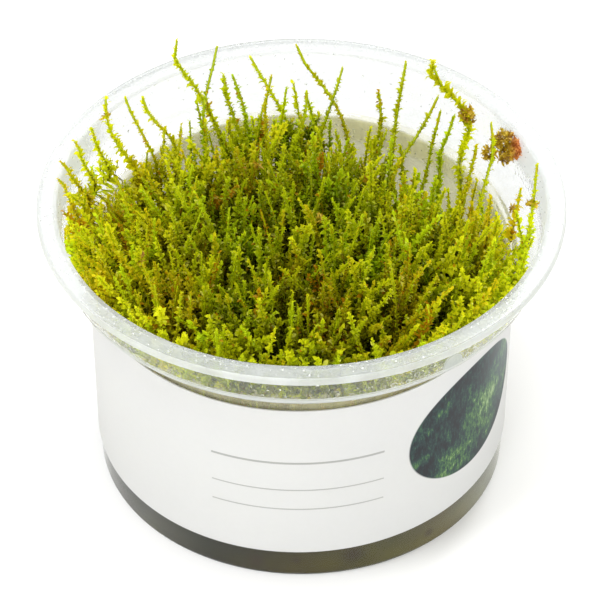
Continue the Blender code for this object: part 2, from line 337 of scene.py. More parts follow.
def keepAttribute(geometry, name, value, domain="POINT"):
    inputs = {"Geometry": geometry, "Name": name, "Value": value}
    return addNode("GeometryNodeStoreNamedAttribute", inputs, data_type="FLOAT", domain=domain)


def objectIn(socket):
    return addNode("GeometryNodeObjectInfo", {"Object": socket, "As Instance": True}, "Geometry")


def upright(vector):
    return addNode("FunctionNodeAlignRotationToVector", {"Vector": vector}, axis="Z")


def turnLocal(rotation, euler):
    turn = addNode("FunctionNodeEulerToRotation", {0: euler})
    return addNode("FunctionNodeRotateRotation", {0: rotation, 1: turn}, rotation_space="LOCAL")


def placedOn(points, instance, rotation, size, more=None):
    inputs = {"Points": points, "Instance": instance, "Rotation": rotation, "Scale": size}
    return addNode("GeometryNodeInstanceOnPoints", {**inputs, **(more or {})})


def realized(geometry):
    return addNode("GeometryNodeRealizeInstances", {0: geometry})


def withMaterial(geometry, material):
    return addNode("GeometryNodeSetMaterial", {"Geometry": geometry, "Material": material})


# The cup: a clear stepped shell turned from its profile, as radius and height in millimetres

cupSettings = {
    "steps": 192,
    "rounding": 0.3,
    "cornerRadius": 1.2,
    "footRadius": 39.2,
    "flare": 1.05,
    "bodyTop": 49.5,
    "base": 0.5,
    "lowWall": (12.5, 0.45),  # the wall is this thin up to this height
    "wall": (15.0, 0.8),
    "inside": [(39.45, 48.9), (40.05, 50.1), (44.3, 50.7), (45.2, 51.6), (46.05, 60.25), (46.35, 60.65)],
    "rim": [(49.65, 60.65), (50.0, 60.3), (50.0, 59.0), (49.45, 59.0), (49.3, 59.85), (46.85, 59.85)],
    "outside": [(46.0, 51.4), (45.1, 50.1), (41.05, 49.5), (40.25, 48.6)],
    # Where the haze lies: each soft edge is given as where it starts and ends
    "bandHeights": (43.0, 45.0, 49.2, 49.9),
    "ledgeHeights": (49.3, 49.8, 50.7, 51.5),
    "ledgeReach": (40.2, 41.2),
    "cornerHeights": (50.3, 50.8, 51.7, 52.0),
    "cornerReach": (44.8, 45.2),
    "cornerFront": (-32, -20),
    "collarHeights": (50.2, 51.0),
    "sideHeights": (53, 56),
    "sides": (36, 43),
    "rimHeights": (59.3, 59.9),
    "lipHeights": (58.7, 58.8),
    "lipReach": (49.5, 49.8),
    "gelHeights": (12.0, 14.0),
    "wetHeights": (45.0, 50.0),
    "behind": (-42, -12),
    "bodyHaze": 0.02,
    "bandHaze": 0.32,
    "collarHaze": 0.03,
    "ledgeHaze": 0.16,
    "cornerHaze": 0.95,
    "sideHaze": 0.62,
    "rimHaze": 0.36,
    "lipHaze": 0.75,
    "milkySpot": (27.7, -36.3, 52.4),
    "tint": (0.95, 0.95, 0.85),
    "backTint": (0.74, 0.752, 0.75),
    "rimTint": (0.92, 0.93, 0.93),
    "frost": (0.70, 0.715, 0.715),
    "frontFrost": (0.60, 0.63, 0.64),
    "bandFrost": (0.80, 0.76, 0.46),
    "lipFrost": (0.77, 0.79, 0.80),
    "lightThrough": (0.94, 0.95, 0.95),
}


def bodyRadius(height):
    s = cupSettings
    return s["footRadius"] + s["flare"] * height / s["bodyTop"]


def onCircle(radius, angle, height):
    return radius * mm * math.cos(angle), radius * mm * math.sin(angle), height * mm


def quarter(centreX, centreZ, radius, start, end, steps=6):
    points = []
    for step in range(steps + 1):
        angle = math.radians(start + (end - start) * step / steps)
        points.append((centreX + radius * math.cos(angle), centreZ + radius * math.sin(angle)))
    return points


def rounded(points, radius, steps=3):
    # Each corner of the profile becomes a small curve
    made = [points[0]]
    for before, corner, after in zip(points, points[1:], points[2:]):
        before, corner, after = Vector(before), Vector(corner), Vector(after)
        cutIn = min(radius, 0.45 * (corner - before).length)
        cutOut = min(radius, 0.45 * (after - corner).length)
        start = corner + (before - corner).normalized() * cutIn
        end = corner + (after - corner).normalized() * cutOut
        for step in range(steps + 1):
            t = step / steps
            made.append(tuple(start * (1 - t) ** 2 + corner * 2 * t * (1 - t) + end * t * t))
    made.append(points[-1])
    return made


def turnedMesh(name, profile, steps, closed=False):
    bm = bmesh.new()
    rings = []
    for radius, height in profile:
        count = steps if radius > 1e-6 else 1
        ring = [onCircle(radius, fullTurn * step / steps, height) for step in range(count)]
        rings.append([bm.verts.new(point) for point in ring])
    after = rings[1:] + rings[:1] if closed else rings[1:]
    for upper, lower in zip(rings, after):
        bridge(bm, upper, lower, steps)
    bmesh.ops.recalc_face_normals(bm, faces=bm.faces)
    mesh = meshFrom(name, bm)
    mesh.shade_smooth()
    mesh.set_sharp_from_angle(angle=math.radians(50))
    return mesh


def cupProfile():
    # Thin at the foot, where the gel shows right through it
    s = cupSettings
    corner = s["cornerRadius"]
    inner = corner - s["lowWall"][1]
    inside = [(0.0, s["base"])] + quarter(s["footRadius"] - corner, s["base"] + inner, inner, -90, 0)
    inside += [(bodyRadius(height) - wall, height) for height, wall in (s["lowWall"], s["wall"])]
    foot = quarter(s["footRadius"] - corner, corner, corner, 0, -90)
    return rounded(inside + s["inside"] + s["rim"] + s["outside"] + foot + [(0.0, 0.0)], s["rounding"])


def clearPlasticMaterial():
    # Clear below, dimmed by breath on the collar, frosted on the ledge, the rim and the lip
    s = cupSettings
    material, where = newMaterial("clearPlastic")
    x, y, height = axesOf(where)
    reach = reachOf(x, y)
    behind = spreadMm(y, *s["behind"])
    band = between(height, *s["bandHeights"])
    ledge = between(height, *s["ledgeHeights"]) * spreadMm(reach, *s["ledgeReach"])
    corner = between(height, *s["cornerHeights"]) * spreadMm(reach, *s["cornerReach"])
    corner = corner * spreadMm(y, *s["cornerFront"], 1.0, 0.0)
    side = spreadMm(abs(x), *s["sides"]) * spreadMm(height, *s["sideHeights"])
    rim = spreadMm(height, *s["rimHeights"])
    lip = spreadMm(reach, *s["lipReach"]) * spreadMm(height, *s["lipHeights"])
    spotOffset = vectorMaths("MULTIPLY", offsetFrom(where, s["milkySpot"]), (0.5, 0.5, 0.42))
    spot = spreadMm(vectorMaths("LENGTH", spotOffset), 0.95, 1.2, 0.8, 0.0)
    amount = spread(band, 0.0, 1.0, s["bodyHaze"], s["bandHaze"]) * spreadMm(height, *s["gelHeights"])
    collar = spreadMm(height, *s["collarHeights"], 0.0, s["collarHaze"])
    amount = larger(amount, collar, ledge * s["ledgeHaze"], corner * s["cornerHaze"], side * s["sideHaze"])
    amount = larger(amount, rim * s["rimHaze"], lip * s["lipHaze"], spot)
    mottled = spread(noise(where, 420.0, 4.0), 0.3, 0.7, 0.85, 1.15)
    cloudy = spread(noise(where, 70.0), 0.35, 0.65, 0.85, 1.15)
    amount = amount * mottled * cloudy
    # Painted shade: the frost is darker at the front than at the sides and back
    frost = mixColour(behind, s["frontFrost"], s["frost"])
    frost = mixColour(larger(lip, corner, side), frost, s["lipFrost"])
    frost = mixColour(band, frost, s["bandFrost"])
    tint = mixColour(behind, mixColour(rim, s["tint"], s["rimTint"]), s["backTint"])
    cells = {"Vector": where, "Scale": 1500.0}
    beads = addNode("ShaderNodeTexVoronoi", cells, "Distance", feature="SMOOTH_F1")
    wet = spread(beads, 0.15, 0.45, 1.0, 0.0) * spreadMm(height, *s["wetHeights"])
    normal = bumped(wet, 0.3, 0.08, bumped(noise(where, 55.0), 0.12, 0.4))
    clear = principled({
        "Base Color": tint, "Roughness": spread(amount, 0.03, 0.5, 0.05, 0.3, False), "IOR": 1.49,
        "Specular IOR Level": 0.25, "Transmission Weight": 1.0, "Normal": normal,
    })
    milky = addNode("ShaderNodeBsdfTranslucent", {"Color": frost, "Normal": normal})
    haze = mixShader(0.55, milky, principled({"Base Color": frost, "Roughness": 0.3, "Normal": normal}))
    return finishMaterial(material, letLightIn(mixShader(amount, clear, haze), s["lightThrough"]))


def makeCup():
    mesh = turnedMesh("clear_cup", cupProfile(), cupSettings["steps"])
    cup = addObject("clear_cup", mesh, clearPlasticMaterial())
    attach(cup, "root")
    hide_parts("cup")


# Water: fine drops on the frosted rim and inside the collar, and a few ring-shaped bubbles at the front

waterSettings = {
    "bands": table("shape profile arc spacing smallest largest patchiness", {
        "drops_rim": ("drop", [(46.7, 60.66), (49.4, 60.66)], (0, 360, 96), 1.4, 0.13, 0.27, 0.44),
        "drops_collar": ("drop", [(45.25, 51.9), (46.0, 59.9)], (0, 360, 96), 1.7, 0.1, 0.26, 0.44),
        "drops_body": ("drop", [(39.25, 44.6), (39.38, 48.4)], (0, 360, 96), 1.5, 0.1, 0.26, 0.44),
        "bubbles_collarFront": ("bubble", [(45.25, 52.2), (45.7, 57)], (-75, -38, 24), 1.9, 0.34, 0.62, 0.3),
        "bubbles_bodyFront": ("bubble", [(39.25, 44.8), (39.38, 48.4)], (-96, -52, 24), 1.7, 0.3, 0.55, 0.3),
    }),
    "dropSides": 8,
    "flatness": 0.55,
    "ringSides": 12,
    "tubeSides": 4,
    "tube": 0.16,
    "colour": (0.98, 0.99, 0.98),
    "bright": (0.93, 0.95, 0.95),
    "lightThrough": (0.97, 0.98, 0.97),
    "seed": 12,
}


def bandMesh(profile, start, end, steps):
    # A strip from one angle to another, facing the axis where it rises and up where it runs outwards
    points, faces = [], []
    for radius, height in profile:
        for step in range(steps + 1):
            points.append(onCircle(radius, math.radians(start + (end - start) * step / steps), height))
    for row in range(len(profile) - 1):
        for step in range(steps):
            low = row * (steps + 1) + step
            faces.append((low, low + steps + 1, low + steps + 2, low + 1))
    return meshOf("band", points, faces)


def dropMesh():
    # A closed dome, one unit in radius at its foot
    sides, flatness = waterSettings["dropSides"], waterSettings["flatness"]
    levels = [(1.0, 0.02)] + [(math.cos(slope), flatness * math.sin(slope)) for slope in (0.55, 1.1)]
    angles = np.linspace(0, fullTurn, sides, endpoint=False)
    bm = bmesh.new()
    rows = []
    for reach, height in levels:
        rows.append([bm.verts.new((reach * math.cos(a), reach * math.sin(a), height)) for a in angles])
    rows.append([bm.verts.new((0, 0, flatness))])
    bm.faces.new(list(reversed(rows[0])))
    for lower, upper in zip(rows, rows[1:]):
        for step in range(sides):
            after = (step + 1) % sides
            corners = [lower[step], lower[after], upper[after % len(upper)], upper[step % len(upper)]]
            bm.faces.new(list(dict.fromkeys(corners)))
    mesh = meshFrom("drop_shape", bm)
    mesh.shade_smooth()
    return mesh


def bubbleMesh():
    # A thin ring one unit in radius, as a bubble's foot shows it
    tube, ring, sides = (waterSettings[name] for name in ("tube", "ringSides", "tubeSides"))
    points, faces = [], []
    for around in range(ring):
        a = fullTurn * around / ring
        for across in range(sides):
            b = fullTurn * across / sides
            reach = 1.0 + tube * math.cos(b)
            points.append((reach * math.cos(a), reach * math.sin(a), tube * (1.05 + math.sin(b))))
            here, after, beside = around * sides, (around + 1) % ring * sides, (across + 1) % sides
            faces.append((here + across, after + across, after + beside, here + beside))
    mesh = meshOf("bubble_shape", points, faces)
    mesh.shade_smooth()
    return mesh


def waterMaterial():
    s = waterSettings
    material, where = newMaterial("waterDrops")
    normal = bumped(noise(where, 1800.0), 0.1, 0.05)
    clear = principled({
        "Base Color": s["colour"], "Roughness": 0.02, "IOR": 1.33, "Transmission Weight": 1.0,
        "Normal": normal,
    })
    bright = principled({"Base Color": s["bright"], "Roughness": 0.1, "Normal": normal})
    share = spread(noise(where, 500.0), 0.35, 0.65, 0.06, 0.28)
    return finishMaterial(material, letLightIn(mixShader(share, clear, bright), s["lightThrough"]))


def waterTree(material):
    tree, given = newTree("scatteredDrops", {
        "Object": "drop", "Length": "spacing smallest largest", "Float": "patchiness", "Int": "seed",
    })
    seed = given["seed"]
    scatter = addNode("GeometryNodeDistributePointsOnFaces", {
        "Mesh": given["Geometry"], "Distance Min": given["spacing"], "Density Max": 4000000.0, "Seed": seed,
    }, None, distribute_method="POISSON")
    dry = noise(position(), 130.0, 2.0) < given["patchiness"]
    points = addNode("GeometryNodeDeleteGeometry", {0: scatter["Points"], 1: dry}, domain="POINT")
    chance = randomValue(0.0, 1.0, seed)
    size = spread(chance * chance, 0.0, 1.0, given["smallest"], given["largest"], False)
    stretch = size * randomValue(0.8, 1.25, seed + 1)
    placed = placedOn(points, objectIn(given["drop"]), scatter["Rotation"], combine(stretch, size, size))
    finishTree(withMaterial(realized(placed), material))
    return tree


def makeWater():
    s = waterSettings
    tree = waterTree(waterMaterial())
    drop, bubble = addObject("drop_shape", dropMesh()), addObject("bubble_shape", bubbleMesh())
    made = []
    for name, values in s["bands"].items():
        band = addObject("band", bandMesh(values["profile"], *values["arc"]))
        shape = drop if values["shape"] == "drop" else bubble
        made.append(grow(name, band, tree, {**values, "drop": shape, "seed": s["seed"] + len(made)}))
    for piece in made:
        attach(piece, "root")
    discard(drop, bubble)
    print("water", sum(len(piece.data.polygons) for piece in made), "faces")


# The label: a paper sleeve, wrapped a little askew, with plain write-on rules and a mottled green spot

labelSettings = {
    "steps": 192,
    "bottom": 8.0,
    "top": 45.0,
    "highest": 48.8,
    "thickness": 0.25,
    "gap": 0.2,
    "middleRadius": 40.5,
    "slopeX": 0.015,
    "slopeY": 0.022,
    "backRise": 0.095,
    "backTurn": -0.9,
    "paper": (0.775, 0.785, 0.80),
    "inside": (0.93, 0.89, 0.67),
    "lowerTone": (0.42, 0.40, 0.14),
    "lightThrough": (0.90, 0.89, 0.84),
    "glow": (0.75, 0.73, 0.68),
    "spotGlow": (0.01, 0.02, 0.02),
    "translucency": 0.3,
    "ink": (0.09, 0.10, 0.11),
    # On the unrolled label: start, end, height and width of each rule, then the spot's middle and half widths
    "rules": [(-17.5, 16.0, 23.5, 0.5), (-17.5, 16.0, 16.5, 0.28), (-17.5, 16.0, 11.5, 0.28)],
    "spot": (38.2, 20.4, 16.9, 12.8),
    "spotReflection": (0.42, 0.52, 0.50),
    "spotColours": [
        (0.22, (0.010, 0.011, 0.016)), (0.42, (0.014, 0.036, 0.042)), (0.56, (0.03, 0.095, 0.06)),
        (0.72, (0.10, 0.24, 0.05)), (0.9, (0.42, 0.58, 0.26)),
    ],
    "strands": [((0.3, 0.6, 0.2), 0.35, 1700.0), ((0.2, -0.7, 0.1), 0.3, 1500.0)],
}


def labelMaterial():
    s = labelSettings
    material, where = newMaterial("labelPaper")
    u, v = axesOf(addNode("ShaderNodeUVMap", uv_map="wrap"))[:2]
    along = (u - 0.5) * (fullTurn * s["middleRadius"])
    up = v * (s["top"] - s["bottom"])
    fibres = noise(where, 900.0, 5.0, 0.65)
    paper = mixColour(fibres, s["paper"], darker(s["paper"], 0.95))
    ink = 0.0
    for start, end, height, width in s["rules"]:
        across = maths("COMPARE", up, height, width / 2)
        ink = larger(ink, across * maths("COMPARE", along, (start + end) / 2, (end - start) / 2))
    colour = mixColour(ink * 0.55, paper, s["ink"])
    centreU, centreV, halfWidth, halfHeight = s["spot"]
    aside, above = (along - centreU) / halfWidth, (up - centreV) / halfHeight
    inSpot = spread(reachOf(aside, above), 0.99, 1.01, 1.0, 0.0, False)
    strands = []
    for rotation, stretch, scale in s["strands"]:
        inputs = {"Vector": where, "Rotation": rotation, "Scale": (1.0, 1.0, stretch)}
        strands.append(noise(addNode("ShaderNodeMapping", inputs), scale, 6.0, 0.8))
    depth = noise(where, 150.0, 4.0, 0.65) + larger(*strands) * 1.35
    cluster = spread(abs(aside - above - 0.3), 0.0, 0.75, 0.2, -0.08)
    mottled = ramp(spread(depth, 0.92, 1.58, 0.0, 1.0, False) + cluster, s["spotColours"])
    # Painted reflection: the spot turns pale grey-green towards its right and top
    paintedReflection = spread(aside, -0.1, 0.95, 0.0, 0.30) * spread(above, -0.7, 0.6, 0.2, 1.0)
    colour = mixColour(inSpot, colour, mixColour(paintedReflection, mottled, s["spotReflection"]))
    seam = spread(abs(u - 0.012), 0.0, 0.0015, 1.0, 0.0)
    normal = bumped(noise(where, 45.0, 2.0), 0.12, 0.6, bumped(fibres * 0.25 + seam, 0.3, 0.08))
    shader = thin(s["translucency"], mixColour(inSpot, s["glow"], s["spotGlow"]), {
        "Base Color": colour, "Roughness": 0.45, "Specular IOR Level": 0.35, "Normal": normal,
        "Coat Weight": 0.12, "Coat Roughness": 0.15,
    })
    return finishMaterial(material, letLightIn(shader, s["lightThrough"]))


def labelBackMaterial():
    # The glued inner face: its yellow-beige is painted light bounced from the moss, and it is darker and
    # yellower towards the bottom
    s = labelSettings
    material, where = newMaterial("labelBack")
    colour = mixColour(spread(noise(where, 60.0, 4.0), 0.35, 0.7), s["inside"], darker(s["inside"], 0.86))
    # Darker and yellower towards the bottom of the inner face
    colour = mixColour(spreadMm(axesOf(where)[2], 22, 44, 0.6, 0.0), colour, s["lowerTone"])
    return finishMaterial(material, thin(0.6, colour, {"Base Color": colour, "Roughness": 0.5}))


def makeLabel():
    s = labelSettings
    top, bottom = bodyRadius(s["top"]) + s["gap"], bodyRadius(s["bottom"]) + s["gap"]
    outside = [(top + s["thickness"], s["top"]), (bottom + s["thickness"], s["bottom"])]
    mesh = turnedMesh("paper_label", outside + [(bottom, s["bottom"]), (top, s["top"])], s["steps"], True)
    wrap = mesh.uv_layers.new(name="wrap")
    for face in mesh.polygons:
        places = [mesh.vertices[index].co for index in face.vertices]
        angles = [math.atan2(place.x, -place.y) / fullTurn + 0.5 for place in places]
        crossing = max(angles) - min(angles) > 0.5
        for loop, place, u in zip(face.loop_indices, places, angles):
            v = (place.z / mm - s["bottom"]) / (s["top"] - s["bottom"])
            wrap.data[loop].uv = (u + 1.0 if crossing and u < 0.5 else u, v)
        facing = face.normal.x * face.center.x + face.normal.y * face.center.y
        face.material_index = 1 if facing < -0.5 * face.center.xy.length else 0
    for vertex in mesh.vertices:
        x, y, z = vertex.co
        raised = (s["backRise"] + s["backTurn"] * x) * max(0.0, y)
        vertex.co.z = min(z + s["slopeX"] * x + s["slopeY"] * y + raised, s["highest"] * mm)
    label = addObject("paper_label", mesh, labelMaterial(), labelBackMaterial())
    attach(label, "root")
    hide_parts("label")


# The gel that the moss stands on

gelSettings = {
    "steps": 128,
    "top": 12.0,
    "dome": [(0.0, 0.0), (34.0, 0.05)],
    "edgeRise": 0.3,
    "wetting": 0.05,
    "acrossTo": 40.0,
    "across": [
        (0.0, (0.10, 0.10, 0.085)), (0.15, (0.045, 0.045, 0.032)), (0.28, (0.012, 0.012, 0.004)),
        (0.5, (0.028, 0.021, 0.0)), (0.72, (0.052, 0.046, 0.004)), (0.84, (0.08, 0.066, 0.02)),
        (0.95, (0.15, 0.15, 0.09)),
    ],
    "stain": (0.024, 0.012, 0.001),
    # x, y, height and radius
    "stains": [
        (9.7, -37.5, 4.6, 3.0), (-8.5, -37.6, 3.2, 2.4), (24.0, -30.0, 3.4, 1.6), (-1.0, -38.6, 4.2, 1.4),
    ],
}


def gelMaterial():
    s = gelSettings
    material, where = newMaterial("nutrientGel")
    axes = axesOf(where)
    colour = ramp(spreadMm(axes[0], -s["acrossTo"], s["acrossTo"], 0.0, 1.0, False), s["across"])
    cloud = spread(noise(where, 90.0, 4.0), 0.3, 0.7, 0.8, 1.25)
    colour = mixColour(1.0, colour, cloud * spreadMm(axes[2], 1.5, 9.0, 1.3, 0.7), "MULTIPLY")
    for *centre, size in s["stains"]:
        near = vectorMaths("LENGTH", offsetFrom(where, centre))
        colour = mixColour(spreadMm(near, 0.2 * size, size, 0.75, 0.0), colour, s["stain"])
    normal = bumped(noise(where, 240.0), 0.25, 0.3)
    return finishMaterial(material, principled({
        "Base Color": colour, "Roughness": 0.5, "Specular IOR Level": 0.05, "Normal": normal,
    }))


def makeGel():
    # The gel wets the wall, so it has no air between it and the plastic
    s, cup = gelSettings, cupSettings
    wall = s["wetting"] - cup["lowWall"][1]
    bottom = cup["base"] - s["wetting"]
    corner = cup["cornerRadius"]
    inner = corner + wall
    profile = [(reach, s["top"] + rise) for reach, rise in s["dome"]]
    profile += [(bodyRadius(s["top"]) + wall, s["top"] + s["edgeRise"])]
    profile += quarter(cup["footRadius"] - corner, bottom + inner, inner, 0, -90) + [(0.0, bottom)]
    gel = addObject("growing_gel", turnedMesh("growing_gel", profile, s["steps"]), gelMaterial())
    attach(gel, "root")
    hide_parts("nutrient_gel")


# Moss leaves and stems

leafSettings = {
    "width": 0.56,
    "fold": 0.1,
    "arch": 0.14,
    "curl": 0.2,
    "edges": [0.0, 0.25, 0.8, 0.35, 1.0, 0.9],
    "deep": (0.10, 0.16, 0.001),
    "fresh": (0.42, 0.50, 0.002),
    "bright": (0.82, 0.84, 0.012),
    "edge": (0.90, 0.95, 0.02),
    "glint": (1.0, 0.96, 0.2),
    "sunkShade": (0.07, 0.085, 0.002),
    "foldShade": (0.08, 0.11, 0.001),
    "greener": (0.74, 0.97, 1.0),
    "yellower": (1.0, 0.80, 1.0),
    "browner": (0.62, 0.52, 0.5),
    "yellowBrown": (0.66, 0.47, 0.004),
    "brown": (0.54, 0.21, 0.005),
    "sheen": (1.0, 1.0, 0.2),
    "throughLight": 0.6,
    # Millimetres by which the dark, dim and light patches shift the painted shade
    "darkPatchShade": 5.5,
    "dimPatchShade": 2.2,
    "lightPatchLight": 3.5,
    "stem": [(0.2, (0.05, 0.03, 0.004)), (0.6, (0.17, 0.16, 0.004)), (0.85, (0.42, 0.50, 0.002))],
    "stemSheen": (0.95, 1.0, 0.3),
    # Soft round patches seen from above: x, y and radius
    "greenPatches": [(-13, -3, 12), (3, 8, 9), (12, -9, 6)],
    # The dark and dim patches are painted shade, the light patches painted light
    "darkPatches": [(3, -34, 9), (4, -41, 6), (-1, -20, 6), (-20, -8, 5)],
    "dimPatches": [
        (-19, -8, 7), (-4, 12, 5), (-4, -13, 7), (-28, -29, 9), (-36, -22, 6), (-1, -30, 11), (31, -3, 6),
    ],
    "lightPatches": [
        (27, -14, 9), (35, -20, 10), (25, -28, 10), (13, -36, 7), (11, 25, 7), (-12, -37, 5), (-28, 2, 7),
        (-12, 4, 5),
    ],
    "brownPatches": [
        (-25, -24, 8), (5, -24, 7), (-36, 6, 6), (20, -20, 5), (-10, 13, 4), (17, -35, 4), (-3, -13, 4),
    ],
}


def leafMesh():
    # One leaf at the origin along +Y, tilted across, arched up and curled over at its tip, one unit long
    s = leafSettings
    width, fold, arch, curl = s["width"] / 2, s["fold"], s["arch"], s["curl"]
    points = [
        (0, 0, 0), (-0.9 * width, 0.34, arch - fold), (0.9 * width, 0.3, arch + fold),
        (-width, 0.68, arch - 0.3 * fold), (0.9 * width, 0.7, arch + 0.6 * fold), (0.1 * width, 0.97, -curl),
    ]
    mesh = meshOf("leaf_shape", points, [(0, 2, 1), (1, 2, 4), (1, 4, 3), (3, 4, 5)])
    mark(mesh, "edge", s["edges"])
    mesh.shade_smooth()
    return mesh


def attribute(name):
    return addNode("ShaderNodeAttribute", None, "Fac", attribute_name=name)


def nearSpots(x, y, spots):
    # 1 within soft round patches
    share = 0.0
    for spotX, spotY, size in spots:
        reach = reachOf(x - spotX * mm, y - spotY * mm)
        share = larger(share, spreadMm(reach, 0.25 * size, 1.2 * size, 1.0, 0.0))
    return share


def mossLeafMaterial():
    # Deep green inside the mat to bright yellow-green at the tips, with browner and greener patches; darker
    # low on the shoots and deep in the mat, partly as painted shade, with painted shade and light in soft
    # patches and painted highlights on the leaves
    s = leafSettings
    material, where = newMaterial("mossLeaf")
    x, y = axesOf(where)[:2]
    shoot, leaf, along, edge, rise = map(attribute, ("shootTint", "leafTint", "along", "edge", "rise"))
    green, brown, dark, dim, light = (
        nearSpots(x, y, s[name + "Patches"]) for name in ("green", "brown", "dark", "dim", "light")
    )
    ragged = 0.5 + noise(where, 160.0)
    green, brown = green * ragged, brown * ragged
    # Painted shade and light: dark and dim patches are shaded as if the mat were sunk there, light patches
    # lit as if raised
    shadedDepth = rise - dark * (s["darkPatchShade"] * mm) - dim * (s["dimPatchShade"] * mm) + light * (s["lightPatchLight"] * mm)
    # How bright the leaf is: each shoot's own tone, lighter in the painted light patches, brighter to the
    # left and right of the mat
    tone = shoot * 0.86 + leaf * 0.14 + light * 0.2 + spreadMm(abs(x - 4 * mm) - 18 * mm, 0, 20, -0.09, 0.3)
    tone = tone + spread(noise(where, 50.0, 2.0), 0.35, 0.65, -0.18, 0.18) - green * 0.16
    colour = ramp(tone, [(0.12, s["deep"]), (0.5, s["fresh"]), (0.88, s["bright"])])
    colour = mixColour(spread(along, 0.88, 1.0, 0.0, 0.6), colour, s["bright"])
    # Painted shade low on each shoot and deep in the mat, partly the darker older leaves there
    sunkShade = larger(spread(along, 0.1, 0.6, 0.92, 0.0), spreadMm(shadedDepth, -11, -2, 0.94, 0.0))
    colour = mixColour(sunkShade, colour, s["sunkShade"])
    # Some shoots are greener and some more yellow
    hue = maths("FRACT", shoot * 41.0)
    colour = mixColour(larger(spread(hue, 0.05, 0.3, 0.8, 0.0), green), colour, s["greener"], "MULTIPLY")
    colour = mixColour(spread(hue, 0.68, 0.95), colour, s["yellower"], "MULTIPLY")
    patch = spread(noise(where, 75.0), 0.44, 0.66) * spreadMm(x, -46, 4, 0.55, 0.15)
    colour = mixColour(larger(patch, brown * 0.5), colour, s["yellowBrown"])
    colour = mixColour(brown * 0.7, colour, s["browner"], "MULTIPLY")
    # Painted highlight on the tip and one side of each leaf, and painted shade at its base
    bright = spread(edge, 0.55, 1.0, 0.0, 0.26) * spread(along, 0.3, 0.8, 0.15, 1.0)
    colour = mixColour(bright, colour, s["edge"])
    colour = mixColour(spread(edge, 0.0, 0.5, 0.45, 0.0), colour, s["foldShade"])
    # A few dead shoots and leaves, and a few leaves with a painted glint
    dead = larger(shoot > 0.985, leaf < 0.01 + brown * 0.07)
    colour = mixColour(dead * 0.8, colour, s["brown"])
    colour = mixColour((leaf > 0.975) * spread(along, 0.5, 0.8, 0.0, 0.6), colour, s["glint"])
    return finishMaterial(material, thin(s["throughLight"], colour, {
        "Base Color": colour, "Roughness": 0.26, "Specular IOR Level": 0.35, "Specular Tint": s["sheen"],
    }))


def mossStemMaterial():
    s = leafSettings
    material, where = newMaterial("mossStem")
    colour = ramp(attribute("along"), s["stem"])
    colour = mixColour(spread(noise(where, 500.0), 0.5, 0.72, 0.0, 0.5), colour, s["brown"])
    inputs = {"Base Color": colour, "Roughness": 0.4, "Specular Tint": s["stemSheen"]}
    return finishMaterial(material, principled(inputs))


def leafyShootTree(leafMaterial, stemMaterial):
    # Leaves in a spiral up every line of the source, smaller towards both ends, on a tapered stem
    tree, given = newTree("leafyShoot", {
        "Object": "leaf", "Length": "leafLength leafSpacing stemRadius",
        "Float": "leavesFrom opening taper tipSize shadeStart", "Int": "seed",
    })
    seed = given["seed"]
    curve = addNode("GeometryNodeMeshToCurve", {0: given["Geometry"]})
    spaced = {"Curve": curve, "Length": given["leafSpacing"]}
    fine = addNode("GeometryNodeResampleCurve", spaced, mode="LENGTH")
    share = addNode("GeometryNodeSplineParameter", None, "Factor")
    shade = spread(share, 0.0, 1.0, given["shadeStart"], 1.0, False)
    marked = keepAttribute(keepAttribute(fine, "share", share), "along", shade)
    onCurve = addNode("GeometryNodeCurveToPoints", {"Curve": marked}, None, mode="EVALUATED")
    number = addNode("GeometryNodeInputIndex")
    along = namedAttribute("share")
    bare = along < given["leavesFrom"]
    points = addNode("GeometryNodeDeleteGeometry", {0: onCurve["Points"], 1: bare}, domain="POINT")
    goldenAngle = 2.39996
    spin = number * goldenAngle + randomValue(-0.5, 0.5, seed)
    opening = spread(along, 0.85, 1.0, 0.0, 0.35) + randomValue(-0.35, 0.35, seed, number) + given["opening"]
    rotation = upright(onCurve["Tangent"])
    for euler in (combine(z=spin), combine(x=opening), combine(y=randomValue(-0.6, 0.6, seed + 3))):
        rotation = turnLocal(rotation, euler)
    size = spread(along, 0.86, 1.0, 1.0, given["tipSize"])
    size = size * spread(along, 0.1, 0.95, 1.0, given["taper"], False)
    size = size * randomValue(0.6, 1.3, seed + 5) * given["leafLength"]
    leaves = placedOn(points, objectIn(given["leaf"]), rotation, size)
    leaves = keepAttribute(leaves, "leafTint", randomValue(0.0, 1.0, seed + 7), "INSTANCE")
    leaves = withMaterial(realized(leaves), leafMaterial)
    coarse = addNode("GeometryNodeResampleCurve", {"Curve": curve, "Count": 12}, mode="COUNT")
    tapered = addNode("GeometryNodeSetCurveRadius", {
        "Curve": keepAttribute(coarse, "along", shade), "Radius": spread(share, 0.0, 1.0, 1.0, 0.35),
    })
    outline = {"Resolution": 3, "Radius": given["stemRadius"]}
    circle = addNode("GeometryNodeCurvePrimitiveCircle", outline, mode="RADIUS")
    stem = addNode("GeometryNodeCurveToMesh", {"Curve": tapered, "Profile Curve": circle, "Fill Caps": True})
    both = work["tree"].nodes.new("GeometryNodeJoinGeometry")
    for part in (withMaterial(stem, stemMaterial), leaves):
        fill(both.inputs[0], part)
    finishTree(realized(NodeValue(both.outputs[0])))
    return tree


def lineObject(name, lines):
    # Each line of points, in millimetres, becomes one chain of edges
    points, edges = [], []
    for line in lines:
        start = len(points)
        points += [tuple(Vector(point) * mm) for point in line]
        edges += [(start + step, start + step + 1) for step in range(len(line) - 1)]
    return addObject(name, meshOf(name, points, [], edges))


# The dense mat: bent leafy shoots of a few kinds, set side by side with their tips at the canopy's height

